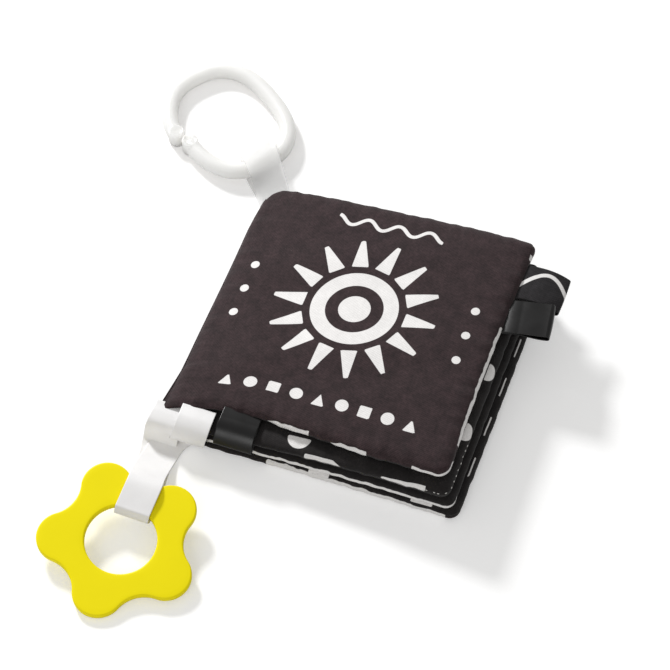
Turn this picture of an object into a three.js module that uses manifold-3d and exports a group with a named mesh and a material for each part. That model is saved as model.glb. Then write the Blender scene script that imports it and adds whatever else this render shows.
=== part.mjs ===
// Contrast baby book: four padded cloth leaves in a wrap-round spine, ribbon tags in the front
// cover's seam, a clip-on link on one ribbon and a star teether on another.
// Millimetres. +X runs from the spine to the open edge, +Y from the bottom edge to the top edge,
// +Z up. The origin is the middle of the back cover's resting face.
import * as THREE from 'three';
import { mergeVertices } from 'three/addons/utils/BufferGeometryUtils.js';
import Module from 'manifold-3d';

const wasm = await Module();
wasm.setup();

// Leaves
const leafLength = 134;        // spine to open edge
const leafDepth = 130;         // bottom edge to top edge
const leafCount = 4;           // front cover, two pages, back cover
const spineThickness = 3.6;    // one padded leaf where it is sewn to the spine
const openThickness = 8.1;     // one padded leaf at the open edge
const leafArch = 2.25;         // swell of a leaf's wadding, which is fullest nearer the spine
const leafStep = 2.2;          // each higher leaf starts this much nearer the spine
const coverShift = 5;          // the front cover lies this much further back
const layGap = 0.3;            // air between leaves, and between the two cloths of a seam
const cloth = 0.8;             // cloth of a leaf, with its seam allowance pressed flat
const seamWidth = 1.6;         // flat seam all round a leaf
const wadGap = 0.35;           // cloth to wadding
const shoulder = 7;            // run of the rounded edge from the seam to the flat face
const shoulderRise = 0.66;     // share of the rise reached at a third of that run
const openCorner = 6;          // corner radius at the open edge
const spineCorner = 5;         // corner radius at the spine
const drawIn = 1.6;            // how far the sides pull in between the corners
const coverCrown = 1.5;        // rise of the front cover's middle, which nothing presses down
const coverPull = 4.2;         // how far its ribbons pull the front cover's bottom seam in
const pullSpan = 93.6;         // length of that pulled stretch, from the cover's spine edge

// Spine cloth
const spineCloth = 0.8;
const spineBulge = 1.8;        // how far the spine cloth stands out between its two ends
const spineTuck = 0.5;         // air under the spine cloth's lower end

// Ribbons
const ribbon = 0.7;            // ribbon thickness
const ribbonGap = 0.3;         // ribbon to what it wraps or hangs from
const whiteWidth = 16;         // white ribbon of the link and of the teether
const satinWidth = 18;         // black satin tags
const waveWidth = 19;          // black woven tag with the white wave
const tagReach = 18.2;         // side tags, seam to fold
const tagDrop = 3.5;           // how far a side tag's fold hangs below its seam
const tagOpening = 1.9;        // between the two runs of a tag, at its fold
const tagSpacing = 1;          // between the two side tags
const ribbonSpacing = 3;       // front tag to the teether's ribbon
const waveTagIn = 21;          // front cover's top edge to the middle of the woven tag
const frontTagIn = 35.8;       // front cover's spine edge to the middle of the front tag
const frontTagReach = 12.4;    // front tag, out from the seam
const frontTagDrop = 6.9;      // front tag, down from the seam
const tagBend = 4.4;           // a tag bends down as this power of the way along

// Star teether: five rounded lobes round a hole
const lobes = 5;
const lobeTip = 37.3;          // centre to the tip of a lobe
const lobeRadius = 11.5;
const valleyRadius = 27.6;     // centre to the bottom of the dip between lobes
const holeRadius = 16;
const starThickness = 3.5;
const starEdge = 0.6;          // rounding of the star's edges
const starLean = 10;           // degrees that the star leans, its near lobes on the floor
const starHeading = 19.4;      // degrees that the leaning star is turned
const lobePhase = 33;          // degrees from the star's own x axis to its first lobe
const ribbonSpan = 42.4;       // cover seam to the star's ribbon dip, along Y
const ribbonDrift = 9.5;       // how far the ribbon drifts towards the spine on its way there

// Link: an oval C of round rod with a snap mouth in one long side
const linkLength = 71;         // over the rod
const linkWidth = 55.4;
const rod = 8;                 // rod diameter
const ovalPower = 2.5;         // between an ellipse (2) and a rectangle
const linkTurn = -37.8;        // degrees of the long axis from +X
const mouthShift = 2.7;        // how far one end of the rod stands outside the other
const mouthNear = 2.5;         // the two ends, along the long axis
const mouthFar = -5.7;
const bossRadius = 3.9;        // upright stub that closes each end of the rod
const bossHeight = 8.4;
const catchRadius = 1.3;       // nub on one stub, which snaps into a dimple in the other
const catchClear = 0.35;
const linkRootIn = 2.5;        // spine edge to the middle of the link ribbon's root
const linkReach = 29.8;        // back cover's seam to the rod, along the ribbon
const linkRibbonTurn = 121;    // degrees of the link ribbon's run from +X
const wrapTurn = 66;           // degrees of the rod's own run where the ribbon holds it
const wrapSlack = 2.8;         // extra room of the ribbon's bight round the bent rod
const wrapAside = 1.6;         // the bight's middle lies this far round from the link's end

// Finishes
const finish = (color, roughness, metalness = 0) =>
  new THREE.MeshStandardMaterial({ color, roughness, metalness });
const blackPrint = finish(0x3b3434, 0.9);
const blackCloth = finish(0x1e1b1b, 0.9);
const stripedCloth = finish(0xdedcd8, 0.9);
const wadding = finish(0xf4f2ee, 1.0);
const whiteSatin = finish(0xf2f3f6, 0.45);
const blackSatin = finish(0x1c1a1c, 0.35);
const wovenTape = finish(0x232123, 0.7);
const milkyPlastic = finish(0xf4f2ee, 0.35);
const yellowPlastic = finish(0xf0e11e, 0.55);

// Basic shapes

// A closed mesh from points and triangles, turned so that its faces point out.
function closedGeometry(points, triangles) {
  let volume = 0;
  for (const [a, b, c] of triangles) {
    volume += points[a].dot(new THREE.Vector3().crossVectors(points[b], points[c]));
  }
  const index = triangles.flatMap(([a, b, c]) => (volume > 0 ? [a, b, c] : [a, c, b]));
  const geometry = new THREE.BufferGeometry();
  const position = points.flatMap((point) => [point.x, point.y, point.z]);
  geometry.setAttribute('position', new THREE.Float32BufferAttribute(position, 3));
  geometry.setIndex(index);
  geometry.computeVertexNormals();
  return geometry;
}

// Skin over a row of rings with equal point counts. A ring of one point is a pole; a skin that
// has no poles ends in flat caps.
function loft(rings) {
  const points = rings.flat();
  const starts = [];
  let total = 0;
  for (const ring of rings) {
    starts.push(total);
    total += ring.length;
  }
  const triangles = [];
  for (let i = 0; i + 1 < rings.length; i += 1) {
    const [near, far] = [rings[i].length, rings[i + 1].length];
    const count = Math.max(near, far);
    for (let j = 0; j < count; j += 1) {
      const next = (j + 1) % count;
      const [a, b] = near === 1 ? [starts[i], starts[i]] : [starts[i] + j, starts[i] + next];
      const [d, c] = far === 1
        ? [starts[i + 1], starts[i + 1]]
        : [starts[i + 1] + j, starts[i + 1] + next];
      if (far > 1) triangles.push([a, c, d]);
      if (near > 1) triangles.push([a, b, c]);
    }
  }
  const last = rings.length - 1;
  for (let j = 1; j + 1 < rings[0].length; j += 1) {
    triangles.push([starts[0], starts[0] + j + 1, starts[0] + j]);
  }
  for (let j = 1; j + 1 < rings[last].length; j += 1) {
    triangles.push([starts[last], starts[last] + j, starts[last] + j + 1]);
  }
  return closedGeometry(points, triangles);
}

// A flat strip of cloth along a row of points. across gives the direction of its width from the
// share of the way along; a slanting one shears the strip and leaves its edges straight.
function strip(route, width, thickness, across) {
  const rings = route.map((point, i) => {
    const before = route[Math.max(i - 1, 0)];
    const after = route[Math.min(i + 1, route.length - 1)];
    const along = new THREE.Vector3().subVectors(after, before).normalize();
    const wide = across(i / (route.length - 1));
    const normal = new THREE.Vector3().crossVectors(along, wide).normalize();
    const corner = (w, n) => point.clone()
      .addScaledVector(wide, w * width / 2)
      .addScaledVector(normal, n * thickness / 2);
    return [corner(-1, -1), corner(1, -1), corner(1, 1), corner(-1, 1)];
  });
  return loft(rings);
}

function smooth(points, steps) {
  return new THREE.CatmullRomCurve3(points, false, 'centripetal').getSpacedPoints(steps);
}

// Booleans
function toSolid(geometry) {
  const bare = geometry.clone();
  bare.deleteAttribute('normal');
  bare.deleteAttribute('uv');
  const merged = mergeVertices(bare, 1e-4);
  return new wasm.Manifold(new wasm.Mesh({
    numProp: 3,
    vertProperties: new Float32Array(merged.attributes.position.array),
    triVerts: new Uint32Array(merged.index.array),
  }));
}

function fromSolid(solid) {
  const mesh = solid.getMesh();
  const geometry = new THREE.BufferGeometry();
  geometry.setAttribute('position', new THREE.Float32BufferAttribute(mesh.vertProperties, 3));
  geometry.setIndex([...mesh.triVerts]);
  geometry.computeVertexNormals();
  return geometry;
}

const model = new THREE.Group();
function add(name, geometry, material) {
  const mesh = new THREE.Mesh(geometry, material);
  mesh.name = name;
  model.add(mesh);
  return mesh;
}

// Where the leaves lie: leaf 0 is the back cover, the last is the front cover.
const spineX = -leafLength / 2;
const coverLevel = leafCount - 1;
const leafTaper = (openThickness - spineThickness) / leafLength;
const leafThicknessAt = (x) => {
  const stackEdge = spineX - leafStep * (leafCount - 1);
  const share = THREE.MathUtils.clamp((x - stackEdge) / (leafLength / 2 - stackEdge), 0, 1);
  return spineThickness + leafTaper * (x - spineX) + leafArch * Math.sqrt(share) * (1 - share);
};
const leafMiddleX = (level) => -leafStep * level;
const leafMiddleY = (level) => (level === coverLevel ? coverShift : 0);
const leafFloor = (level, x) => (level ? level * leafThicknessAt(x) + layGap / 2 : 0);
const leafCeiling = (level, x) => (level + 1) * leafThicknessAt(x) - layGap / 2;
const seamHeight = (level, x) => (leafFloor(level, x) + leafCeiling(level, x)) / 2;

const coverEdgeX = leafMiddleX(coverLevel) - leafLength / 2;
function pulledIn(level, x) {
  const share = THREE.MathUtils.clamp((x - coverEdgeX) / pullSpan, 0, 1);
  return level === coverLevel ? coverPull * Math.sin(Math.PI * share ** 0.7) : 0;
}

// Outline of a leaf, moved in by inset, with its sides drawn in between the corners.
const cornerSteps = 4;
const sideSteps = 4;
function leafRing(level, inset, heightAt) {
  const ring = [];
  const corners = [
    [1, -1, openCorner, -90], [1, 1, openCorner, 0], [-1, 1, spineCorner, 90], [-1, -1, spineCorner, 180],
  ];
  const flat = corners.flatMap(([sideX, sideY, radius, from], corner) => {
    const round = Math.max(radius - inset, 0.8);
    const centreX = sideX * (leafLength / 2 - inset - round);
    const centreY = sideY * (leafDepth / 2 - inset - round);
    const arc = [];
    for (let i = 0; i <= cornerSteps; i += 1) {
      const angle = THREE.MathUtils.degToRad(from + 90 * i / cornerSteps);
      arc.push([centreX + round * Math.cos(angle), centreY + round * Math.sin(angle)]);
    }
    const [nextX, nextY, nextRadius] = corners[(corner + 1) % corners.length];
    const nextRound = Math.max(nextRadius - inset, 0.8);
    const angle = THREE.MathUtils.degToRad(from + 90);
    const target = [
      nextX * (leafLength / 2 - inset - nextRound) + nextRound * Math.cos(angle),
      nextY * (leafDepth / 2 - inset - nextRound) + nextRound * Math.sin(angle),
    ];
    const last = arc[arc.length - 1];
    for (let i = 1; i < sideSteps; i += 1) {
      const share = i / sideSteps;
      arc.push([last[0] + (target[0] - last[0]) * share, last[1] + (target[1] - last[1]) * share]);
    }
    return arc;
  });
  for (const [u, v] of flat) {
    const alongX = 2 * u / leafLength;
    const alongY = 2 * v / leafDepth;
    const x = leafMiddleX(level) + u - drawIn * (1 - alongY ** 2) * Math.max(alongX, 0);
    const y = leafMiddleY(level) + v - drawIn * (1 - alongX ** 2) * alongY
      + pulledIn(level, x) * Math.max(-alongY, 0) ** 2;
    ring.push(new THREE.Vector3(x, y, heightAt(x, alongX, alongY)));
  }
  return ring;
}

// Height above (side 1) or below (side -1) a leaf's seam plane. rise runs from 0 at the seam to 1
// on the flat face, and depth is how far the surface lies under the leaf's outside.
function leafSurface(level, side, rise, depth, crown = 0) {
  return (x, alongX, alongY) => {
    const half = (leafCeiling(level, x) - leafFloor(level, x)) / 2;
    const low = layGap / 2;
    const bulge = crown * rise * (1 - alongX ** 2) * (1 - alongY ** 2);
    return seamHeight(level, x) + side * (low + rise * (half - low - depth) + bulge);
  };
}

const flatRise = 1;
const shoulderRun = shoulder / 3;
const innerRuns = [22, 40];
function pole(level, surface) {
  const x = leafMiddleX(level);
  return [new THREE.Vector3(x, leafMiddleY(level), surface(x, 0, 0))];
}

// One cloth of a leaf: a shallow tray whose rim is the seam.
function leafCloth(level, side, crown = 0) {
  const outer = (rise) => leafSurface(level, side, rise, 0, crown);
  const inner = (rise) => leafSurface(level, side, rise, cloth, crown);
  const rimTop = (x) => seamHeight(level, x) + side * (layGap / 2 + cloth);
  const face = (surface) => innerRuns.map((run) => leafRing(level, run, surface(flatRise)));
  return loft([
    pole(level, outer(flatRise)),
    ...face(outer).reverse(),
    leafRing(level, shoulder, outer(flatRise)),
    leafRing(level, shoulderRun, outer(shoulderRise)),
    leafRing(level, 0, rimTop),
    leafRing(level, 0, outer(0)),
    leafRing(level, seamWidth, inner(0)),
    leafRing(level, shoulderRun + cloth, inner(shoulderRise)),
    leafRing(level, shoulder + cloth, inner(flatRise)),
    ...face(inner),
    pole(level, inner(flatRise)),
  ]);
}

// Wadding of a leaf: a pillow that fills the two cloths.
function leafWadding(level, crown = 0) {
  const depth = cloth + wadGap;
  const face = (side, rise, lift = 0) => {
    const surface = leafSurface(level, side, rise, depth, lift);
    return (x, alongX, alongY) => surface(x, alongX, alongY) - side * layGap / 2;
  };
  const half = (side, lift) => [
    pole(level, face(side, flatRise, lift)),
    ...innerRuns.map((run) => leafRing(level, run, face(side, flatRise, lift))).reverse(),
    leafRing(level, shoulder + cloth + wadGap, face(side, flatRise, lift)),
    leafRing(level, shoulderRun + cloth + wadGap, face(side, shoulderRise, lift)),
  ];
  const edge = leafRing(level, seamWidth + wadGap, (x) => seamHeight(level, x));
  return loft([...half(1, crown), edge, ...half(-1, 0).reverse()]);
}

add('back_cover_outer_cloth', leafCloth(0, -1), blackPrint);
add('back_cover_wadding', leafWadding(0), wadding);
add('back_cover_lining', leafCloth(0, 1), stripedCloth);
add('lower_page_back_cloth', leafCloth(1, -1), stripedCloth);
add('lower_page_wadding', leafWadding(1), wadding);
add('lower_page_front_cloth', leafCloth(1, 1), blackCloth);
add('upper_page_back_cloth', leafCloth(2, -1), blackCloth);
add('upper_page_wadding', leafWadding(2), wadding);
add('upper_page_front_cloth', leafCloth(2, 1), blackCloth);
add('front_cover_lining', leafCloth(3, -1), blackCloth);
add('front_cover_wadding', leafWadding(3, coverCrown), wadding);
add('front_cover_outer_cloth', leafCloth(3, 1, coverCrown), blackPrint);

// Spine cloth: wraps from under the back cover's spine edge to the front cover's, outside the pages.
function spineWrap() {
  const clearance = layGap + spineCloth / 2 + 0.1;
  const top = seamHeight(coverLevel, coverEdgeX);
  const route = [];
  const steps = 8;
  for (let i = 0; i <= steps; i += 1) {
    const share = i / steps;
    const level = share * coverLevel;
    const x = spineX - leafStep * coverLevel * share ** 0.8 - clearance
      - spineBulge * Math.sin(Math.PI * share);
    const z = spineTuck + (top + spineThickness / 4 - spineTuck) * share;
    route.push(new THREE.Vector3(x, coverShift * share, z));
  }
  const wide = new THREE.Vector3(0, 1, 0);
  return strip(route, leafDepth - 2 * spineCorner, spineCloth, () => wide);
}
add('spine_cloth', spineWrap(), blackPrint);

// Places on the front cover's seam where tags are sewn in
const coverBottomY = (x) => {
  const alongX = 2 * (x - leafMiddleX(coverLevel)) / leafLength;
  return leafMiddleY(coverLevel) - leafDepth / 2 + drawIn * (1 - alongX ** 2)
    + pulledIn(coverLevel, x);
};
const coverOpenX = (y) => {
  const alongY = 2 * (y - leafMiddleY(coverLevel)) / leafDepth;
  return leafMiddleX(coverLevel) + leafLength / 2 - drawIn * (1 - alongY ** 2);
};

// A tag is a loop of ribbon: out from the seam along one run, round the fold and back. out is the
// level direction; reach and drop say where the fold lies from the seam, and the tag bends down
// more and more on its way there.
function tagLoop(root, out, reach, drop, width) {
  const wide = new THREE.Vector3(-out.y, out.x, 0);
  const foldRadius = (tagOpening + ribbon) / 2;
  const along = (share) => out.clone().multiplyScalar(reach)
    .setZ(-tagBend * drop * share ** (tagBend - 1)).normalize();
  const above = (share) => new THREE.Vector3().crossVectors(wide, along(share)).negate();
  const middle = (share) => root.clone().addScaledVector(out, reach * share)
    .setZ(root.z - drop * share ** tagBend);
  const steps = 6;
  const upper = [];
  const lower = [];
  for (let i = 0; i <= steps; i += 1) {
    const share = i / steps;
    const half = Math.max(foldRadius * Math.sin(Math.PI * share / 2), (ribbon + ribbonGap) / 2);
    upper.push(middle(share).addScaledVector(above(share), half));
    lower.push(middle(share).addScaledVector(above(share), -half));
  }
  const fold = [30, 60, 90, 120, 150].map((degrees) => {
    const angle = THREE.MathUtils.degToRad(degrees);
    return middle(1).addScaledVector(above(1), foldRadius * Math.cos(angle))
      .addScaledVector(along(1), foldRadius * Math.sin(angle));
  });
  return strip([...upper, ...fold, ...lower.reverse()], width, ribbon, () => wide);
}

const seamOut = layGap + 0.2;
const pullAir = 0.15;
const waveTagY = leafMiddleY(coverLevel) + leafDepth / 2 - waveTagIn;
const frontTagX = coverEdgeX + frontTagIn;
const satinTagY = waveTagY - (waveWidth + satinWidth) / 2 - tagSpacing;
for (const [name, middle, width, material] of [
  ['side_tag_wave', waveTagY, waveWidth, wovenTape],
  ['side_tag_satin', satinTagY, satinWidth, blackSatin],
]) {
  const seamX = coverOpenX(middle + width / 2) + seamOut;
  const root = new THREE.Vector3(seamX, middle, seamHeight(coverLevel, seamX));
  add(name, tagLoop(root, new THREE.Vector3(1, 0, 0), tagReach, tagDrop, width), material);
}

// Where a ribbon of that width leaves the front cover's near seam, clear of the seam at both edges
function nearRoot(x, width) {
  const edges = [x - width / 2, x + width / 2].map(coverBottomY);
  return new THREE.Vector3(x, Math.min(...edges) - seamOut - pullAir, seamHeight(coverLevel, x));
}
const frontRoot = nearRoot(frontTagX, satinWidth);
const frontOut = new THREE.Vector3(0, -1, 0);
add('front_tag', tagLoop(frontRoot, frontOut, frontTagReach, frontTagDrop, satinWidth), blackSatin);

// Star teether, leaning on its ribbon with the near lobes on the floor
const ribbonX = frontTagX - (satinWidth + whiteWidth) / 2 - ribbonSpacing;
const ribbonRoot = nearRoot(ribbonX, whiteWidth);
const heading = THREE.MathUtils.degToRad(starHeading);
const lean = THREE.MathUtils.degToRad(starLean);
const starRight = new THREE.Vector3(Math.cos(heading), Math.sin(heading), 0);
const starUp = new THREE.Vector3(
  -Math.sin(heading) * Math.cos(lean), Math.cos(heading) * Math.cos(lean), Math.sin(lean),
);
const starNormal = new THREE.Vector3().crossVectors(starRight, starUp);
const dipAngle = THREE.MathUtils.degToRad(lobePhase + 180 / lobes);
const towardDip = starRight.clone().multiplyScalar(Math.cos(dipAngle))
  .addScaledVector(starUp, Math.sin(dipAngle));

// Star outline: lobe arcs joined by hollow arcs that touch them and the valley circle.
function starOutline() {
  const lobeCentre = lobeTip - lobeRadius;
  const halfPitch = Math.PI / lobes;
  // The hollow arc's centre lies on the dip's ray, its radius set so that it touches both lobes.
  const across = lobeCentre * Math.cos(halfPitch);
  const aside = lobeCentre * Math.sin(halfPitch);
  const base = valleyRadius - across;
  const hollow = (base ** 2 + aside ** 2 - lobeRadius ** 2) / (2 * (lobeRadius - base));
  const hollowCentre = valleyRadius + hollow;
  const touch = Math.atan2(
    hollowCentre * Math.sin(halfPitch),
    hollowCentre * Math.cos(halfPitch) - lobeCentre,
  );
  const shape = new THREE.Shape();
  for (let i = 0; i < lobes; i += 1) {
    const lobeAngle = THREE.MathUtils.degToRad(lobePhase) + 2 * halfPitch * i;
    const dip = lobeAngle + halfPitch;
    const reach = dip + Math.PI;
    const half = halfPitch - touch;
    shape.absarc(
      lobeCentre * Math.cos(lobeAngle), lobeCentre * Math.sin(lobeAngle),
      lobeRadius, lobeAngle - touch, lobeAngle + touch, false,
    );
    shape.absarc(
      hollowCentre * Math.cos(dip), hollowCentre * Math.sin(dip),
      hollow, reach - half, reach + half, true,
    );
  }
  const hole = new THREE.Path();
  hole.absarc(0, 0, holeRadius - starEdge, 0, 2 * Math.PI, true);
  shape.holes.push(hole);
  return shape;
}

const starGeometry = new THREE.ExtrudeGeometry(starOutline(), {
  depth: starThickness - 2 * starEdge,
  bevelThickness: starEdge,
  bevelSize: starEdge,
  bevelOffset: -starEdge,
  bevelSegments: 1,
  curveSegments: 10,
});
starGeometry.translate(0, 0, starEdge - starThickness / 2);
const star = add('star_teether', fromSolid(toSolid(starGeometry)), yellowPlastic);
const starTurn = new THREE.Matrix4().makeBasis(starRight, starUp, starNormal);
star.quaternion.setFromRotationMatrix(starTurn);
const lobeAngles = [...Array(lobes).keys()].map((i) => (
  THREE.MathUtils.degToRad(lobePhase) + 2 * Math.PI * i / lobes
));
const lowest = lobeRadius - (lobeTip - lobeRadius) * Math.min(...lobeAngles.map(Math.sin));
const starHeight = lowest * Math.sin(lean) + starThickness / 2 * Math.cos(lean) + 0.1;
const dipOut = towardDip.clone().multiplyScalar(valleyRadius);
star.position.set(
  ribbonRoot.x - ribbonDrift - dipOut.x, ribbonRoot.y - ribbonSpan - dipOut.y, starHeight,
);

// Teether ribbon: one strip, sewn in at both ends, doubled, with one soft fold below the seam,
// passed over the star's band, down through the hole and back.
function teetherRoute() {
  const on = (x, y, z) => new THREE.Vector3(x, y, z);
  const rest = ribbon / 2 + 0.45;
  const doubled = ribbon + ribbonGap;
  const z = ribbonRoot.z;
  const fold = [
    [0, 0, z], [-0.01, -7, z + 0.1], [-0.03, -12.4, z - 2.2], [-0.06, -14.9, z * 0.54],
    [-0.22, -15.5, z * 0.37], [-0.58, -14.9, z * 0.24], [-0.84, -15.9, rest + doubled + 0.4],
    [-0.96, -19.3, rest + doubled],
  ].map(([drift, dy, height]) => on(ribbonRoot.x + drift * ribbonDrift, ribbonRoot.y + dy, height));
  const lift = starThickness / 2 + ribbonGap + ribbon / 2 + 0.25;
  const overDip = star.position.clone().addScaledVector(towardDip, valleyRadius + 1)
    .addScaledVector(starNormal, lift);
  const edge = Math.sqrt(holeRadius ** 2 - (whiteWidth / 2) ** 2) - ribbonGap;
  const overEdge = star.position.clone().addScaledVector(towardDip, edge)
    .addScaledVector(starNormal, lift + 0.2);
  const bight = star.position.clone().addScaledVector(towardDip, edge - 1.6 - ribbon / 2)
    .addScaledVector(starNormal, -0.4);
  const underEdge = star.position.clone().addScaledVector(towardDip, edge)
    .addScaledVector(starNormal, -lift - 1);
  const underDip = star.position.clone().addScaledVector(towardDip, valleyRadius);
  underDip.z = rest + 2.4;
  const start = fold[fold.length - 1];
  const ramp = [0.3, 0.65].map((share) => {
    const point = start.clone().lerp(overDip, share);
    point.z = start.z + (overDip.z - start.z) * share ** 1.5;
    return point;
  });
  const back = [0.6, 0.3].map((share) => start.clone().lerp(underDip, share).setZ(rest));
  const upper = smooth([...fold, ...ramp, overDip, overEdge], 40);
  const turn = smooth([overEdge, bight, underEdge], 6).slice(1, -1);
  const lower = smooth([underEdge, underDip, ...back, start.clone().setZ(rest)], 14);
  const second = smooth(fold, 20).map((point, i, all) => {
    const before = all[Math.max(i - 1, 0)];
    const after = all[Math.min(i + 1, all.length - 1)];
    const along = after.clone().sub(before).setX(0).normalize();
    return point.clone().add(on(0, -along.z, along.y).multiplyScalar(doubled));
  }).reverse();
  return [...upper, ...turn, ...lower.slice(0, -1), ...second];
}
// The ribbon lies level at the seam and in the star's plane where it holds the star.
function teetherAcross(share) {
  const { smoothstep } = THREE.MathUtils;
  const held = smoothstep(share, 0.2, 0.4) * (1 - smoothstep(share, 0.6, 0.8));
  return new THREE.Vector3(1, 0, -held * starNormal.x / starNormal.z).normalize();
}
add('teether_ribbon', strip(teetherRoute(), whiteWidth, ribbon, teetherAcross), whiteSatin);

// Link ribbon: a loop from the back cover's far spine corner round the link's rod
const linkRun = THREE.MathUtils.degToRad(linkRibbonTurn);
const runOut = new THREE.Vector3(Math.cos(linkRun), Math.sin(linkRun), 0);
const runSide = new THREE.Vector3(Math.sin(linkRun), -Math.cos(linkRun), 0);
const linkRootX = spineX + linkRootIn;
const linkRoot = new THREE.Vector3(linkRootX, leafDepth / 2 + seamOut, seamHeight(0, linkRootX));
const rodLift = ribbon + 2 * ribbonGap;
const wrapSlant = Math.tan(THREE.MathUtils.degToRad(wrapTurn - (linkRibbonTurn - 90)));
const rootSlant = -runSide.y / runOut.y;
function linkRibbonRoute() {
  const at = (reach, height) => linkRoot.clone().addScaledVector(runOut, reach).setZ(height);
  const rest = ribbon / 2 + 0.15;
  const root = linkRoot.z;
  const over = rodLift + rod + ribbonGap + ribbon / 2;
  const stretch = Math.hypot(1, wrapSlant);
  const bight = linkReach + (rod / 2 + ribbonGap + ribbon / 2) * stretch + wrapSlack;
  return smooth([
    at(0, root - ribbonGap / 2 - ribbon / 2), at(5, rest + 0.1), at(linkReach / 2, rest),
    at(linkReach, rest), at(bight - 1.8, rest + 0.7), at(bight, over * 0.4), at(bight, over * 0.62),
    at(bight - 1.8, over - 0.7), at(linkReach + 1, over + 0.2), at(0.83 * linkReach, over - 0.7),
    at(linkReach / 2, over * 0.55), at(7, root + 1.6), at(0, root + ribbonGap / 2 + ribbon / 2),
  ], 44);
}
// Its ends are cut along the seam and its bight follows the rod.
function linkAcross(share) {
  const held = THREE.MathUtils.smoothstep(1 - Math.abs(2 * share - 1), 0.1, 0.75);
  return runSide.clone().addScaledVector(runOut, rootSlant + (wrapSlant - rootSlant) * held);
}
add('link_ribbon', strip(linkRibbonRoute(), whiteWidth, ribbon, linkAcross), whiteSatin);

// Link: rod swept round an oval, an upright stub on each end, a catch between the stubs
const halfLong = (linkLength - rod) / 2;
const halfWide = (linkWidth - rod) / 2;
function ovalPoint(angle) {
  const power = 2 / ovalPower;
  const [c, s] = [Math.cos(angle), Math.sin(angle)];
  return new THREE.Vector3(
    halfLong * Math.sign(c) * Math.abs(c) ** power, halfWide * Math.sign(s) * Math.abs(s) ** power, 0,
  );
}
const angleAt = (x) => Math.acos(Math.sign(x) * (Math.abs(x) / halfLong) ** (ovalPower / 2));

function linkGeometry() {
  const from = -angleAt(mouthNear);
  const to = 2 * Math.PI - angleAt(mouthFar);
  const route = [];
  const steps = 72;
  for (let i = 0; i <= steps; i += 1) {
    const share = i / steps;
    const point = ovalPoint(from + (to - from) * share);
    point.y -= mouthShift * THREE.MathUtils.smoothstep(share, 0.86, 1);
    route.push(point);
  }
  const path = new THREE.CatmullRomCurve3(route, false, 'centripetal');
  const section = new THREE.Shape();
  section.absarc(0, 0, rod / 2, 0, 2 * Math.PI, false);
  const sweep = new THREE.ExtrudeGeometry(section, { steps: 56, extrudePath: path, curveSegments: 6 });
  const stub = (point) => {
    const boss = new THREE.CylinderGeometry(bossRadius, bossRadius, bossHeight, 20);
    boss.rotateX(Math.PI / 2);
    boss.translate(point.x, point.y, 0);
    return toSolid(boss);
  };
  const [near, far] = [route[0], route[steps]];
  const between = near.clone().sub(far);
  const slack = between.length() - 2 * bossRadius;
  const nub = new THREE.SphereGeometry(catchRadius, 12, 8);
  const nubCentre = far.clone().addScaledVector(between, (bossRadius + slack / 3) / between.length());
  nub.translate(nubCentre.x, nubCentre.y, 0);
  const dimple = new THREE.SphereGeometry(catchRadius + catchClear, 12, 8);
  dimple.translate(nubCentre.x, nubCentre.y, 0);
  return fromSolid(
    toSolid(sweep).add(stub(near)).subtract(toSolid(dimple)).add(stub(far)).add(toSolid(nub)),
  );
}

const link = add('link', linkGeometry(), milkyPlastic);
const linkAngle = THREE.MathUtils.degToRad(linkTurn);
const wrapPoint = linkRoot.clone().addScaledVector(runOut, linkReach);
const linkTip = Math.asin(rodLift / (2 * halfLong));
const linkOffset = new THREE.Vector2(halfLong - 0.2, wrapAside).rotateAround(
  new THREE.Vector2(), linkAngle,
);
link.rotation.set(0, -linkTip, linkAngle, 'ZYX');
link.position.set(
  wrapPoint.x - linkOffset.x, wrapPoint.y - linkOffset.y, (rod + rodLift) / 2 + 0.1,
);

export default model;
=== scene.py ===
"""Looks of the contrast baby book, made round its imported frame.

Lengths in this script are millimetres and turn to metres only when a mesh is made. +X runs from the
spine to the open edge, +Y from the near edge to the far edge, +Z up. Leaf 0 is the back cover and
leaf 3 the front cover.
"""
import math

import bpy
import numpy as np
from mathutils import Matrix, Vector


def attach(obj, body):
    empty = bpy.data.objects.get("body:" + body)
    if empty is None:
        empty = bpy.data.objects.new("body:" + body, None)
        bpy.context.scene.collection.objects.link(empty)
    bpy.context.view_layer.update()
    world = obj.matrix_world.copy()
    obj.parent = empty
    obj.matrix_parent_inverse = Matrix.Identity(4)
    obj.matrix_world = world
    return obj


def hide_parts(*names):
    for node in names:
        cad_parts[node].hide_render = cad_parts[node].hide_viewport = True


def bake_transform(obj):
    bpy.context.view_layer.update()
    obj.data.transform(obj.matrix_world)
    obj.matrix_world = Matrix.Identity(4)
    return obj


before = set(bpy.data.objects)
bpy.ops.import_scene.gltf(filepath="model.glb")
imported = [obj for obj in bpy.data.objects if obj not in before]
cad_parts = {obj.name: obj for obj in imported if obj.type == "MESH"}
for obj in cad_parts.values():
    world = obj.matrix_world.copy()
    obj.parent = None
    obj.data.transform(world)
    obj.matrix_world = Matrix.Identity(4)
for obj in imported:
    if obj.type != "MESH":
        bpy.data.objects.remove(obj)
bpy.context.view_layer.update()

MM = 0.001
TAU = 2 * math.pi


# Meshes

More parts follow.
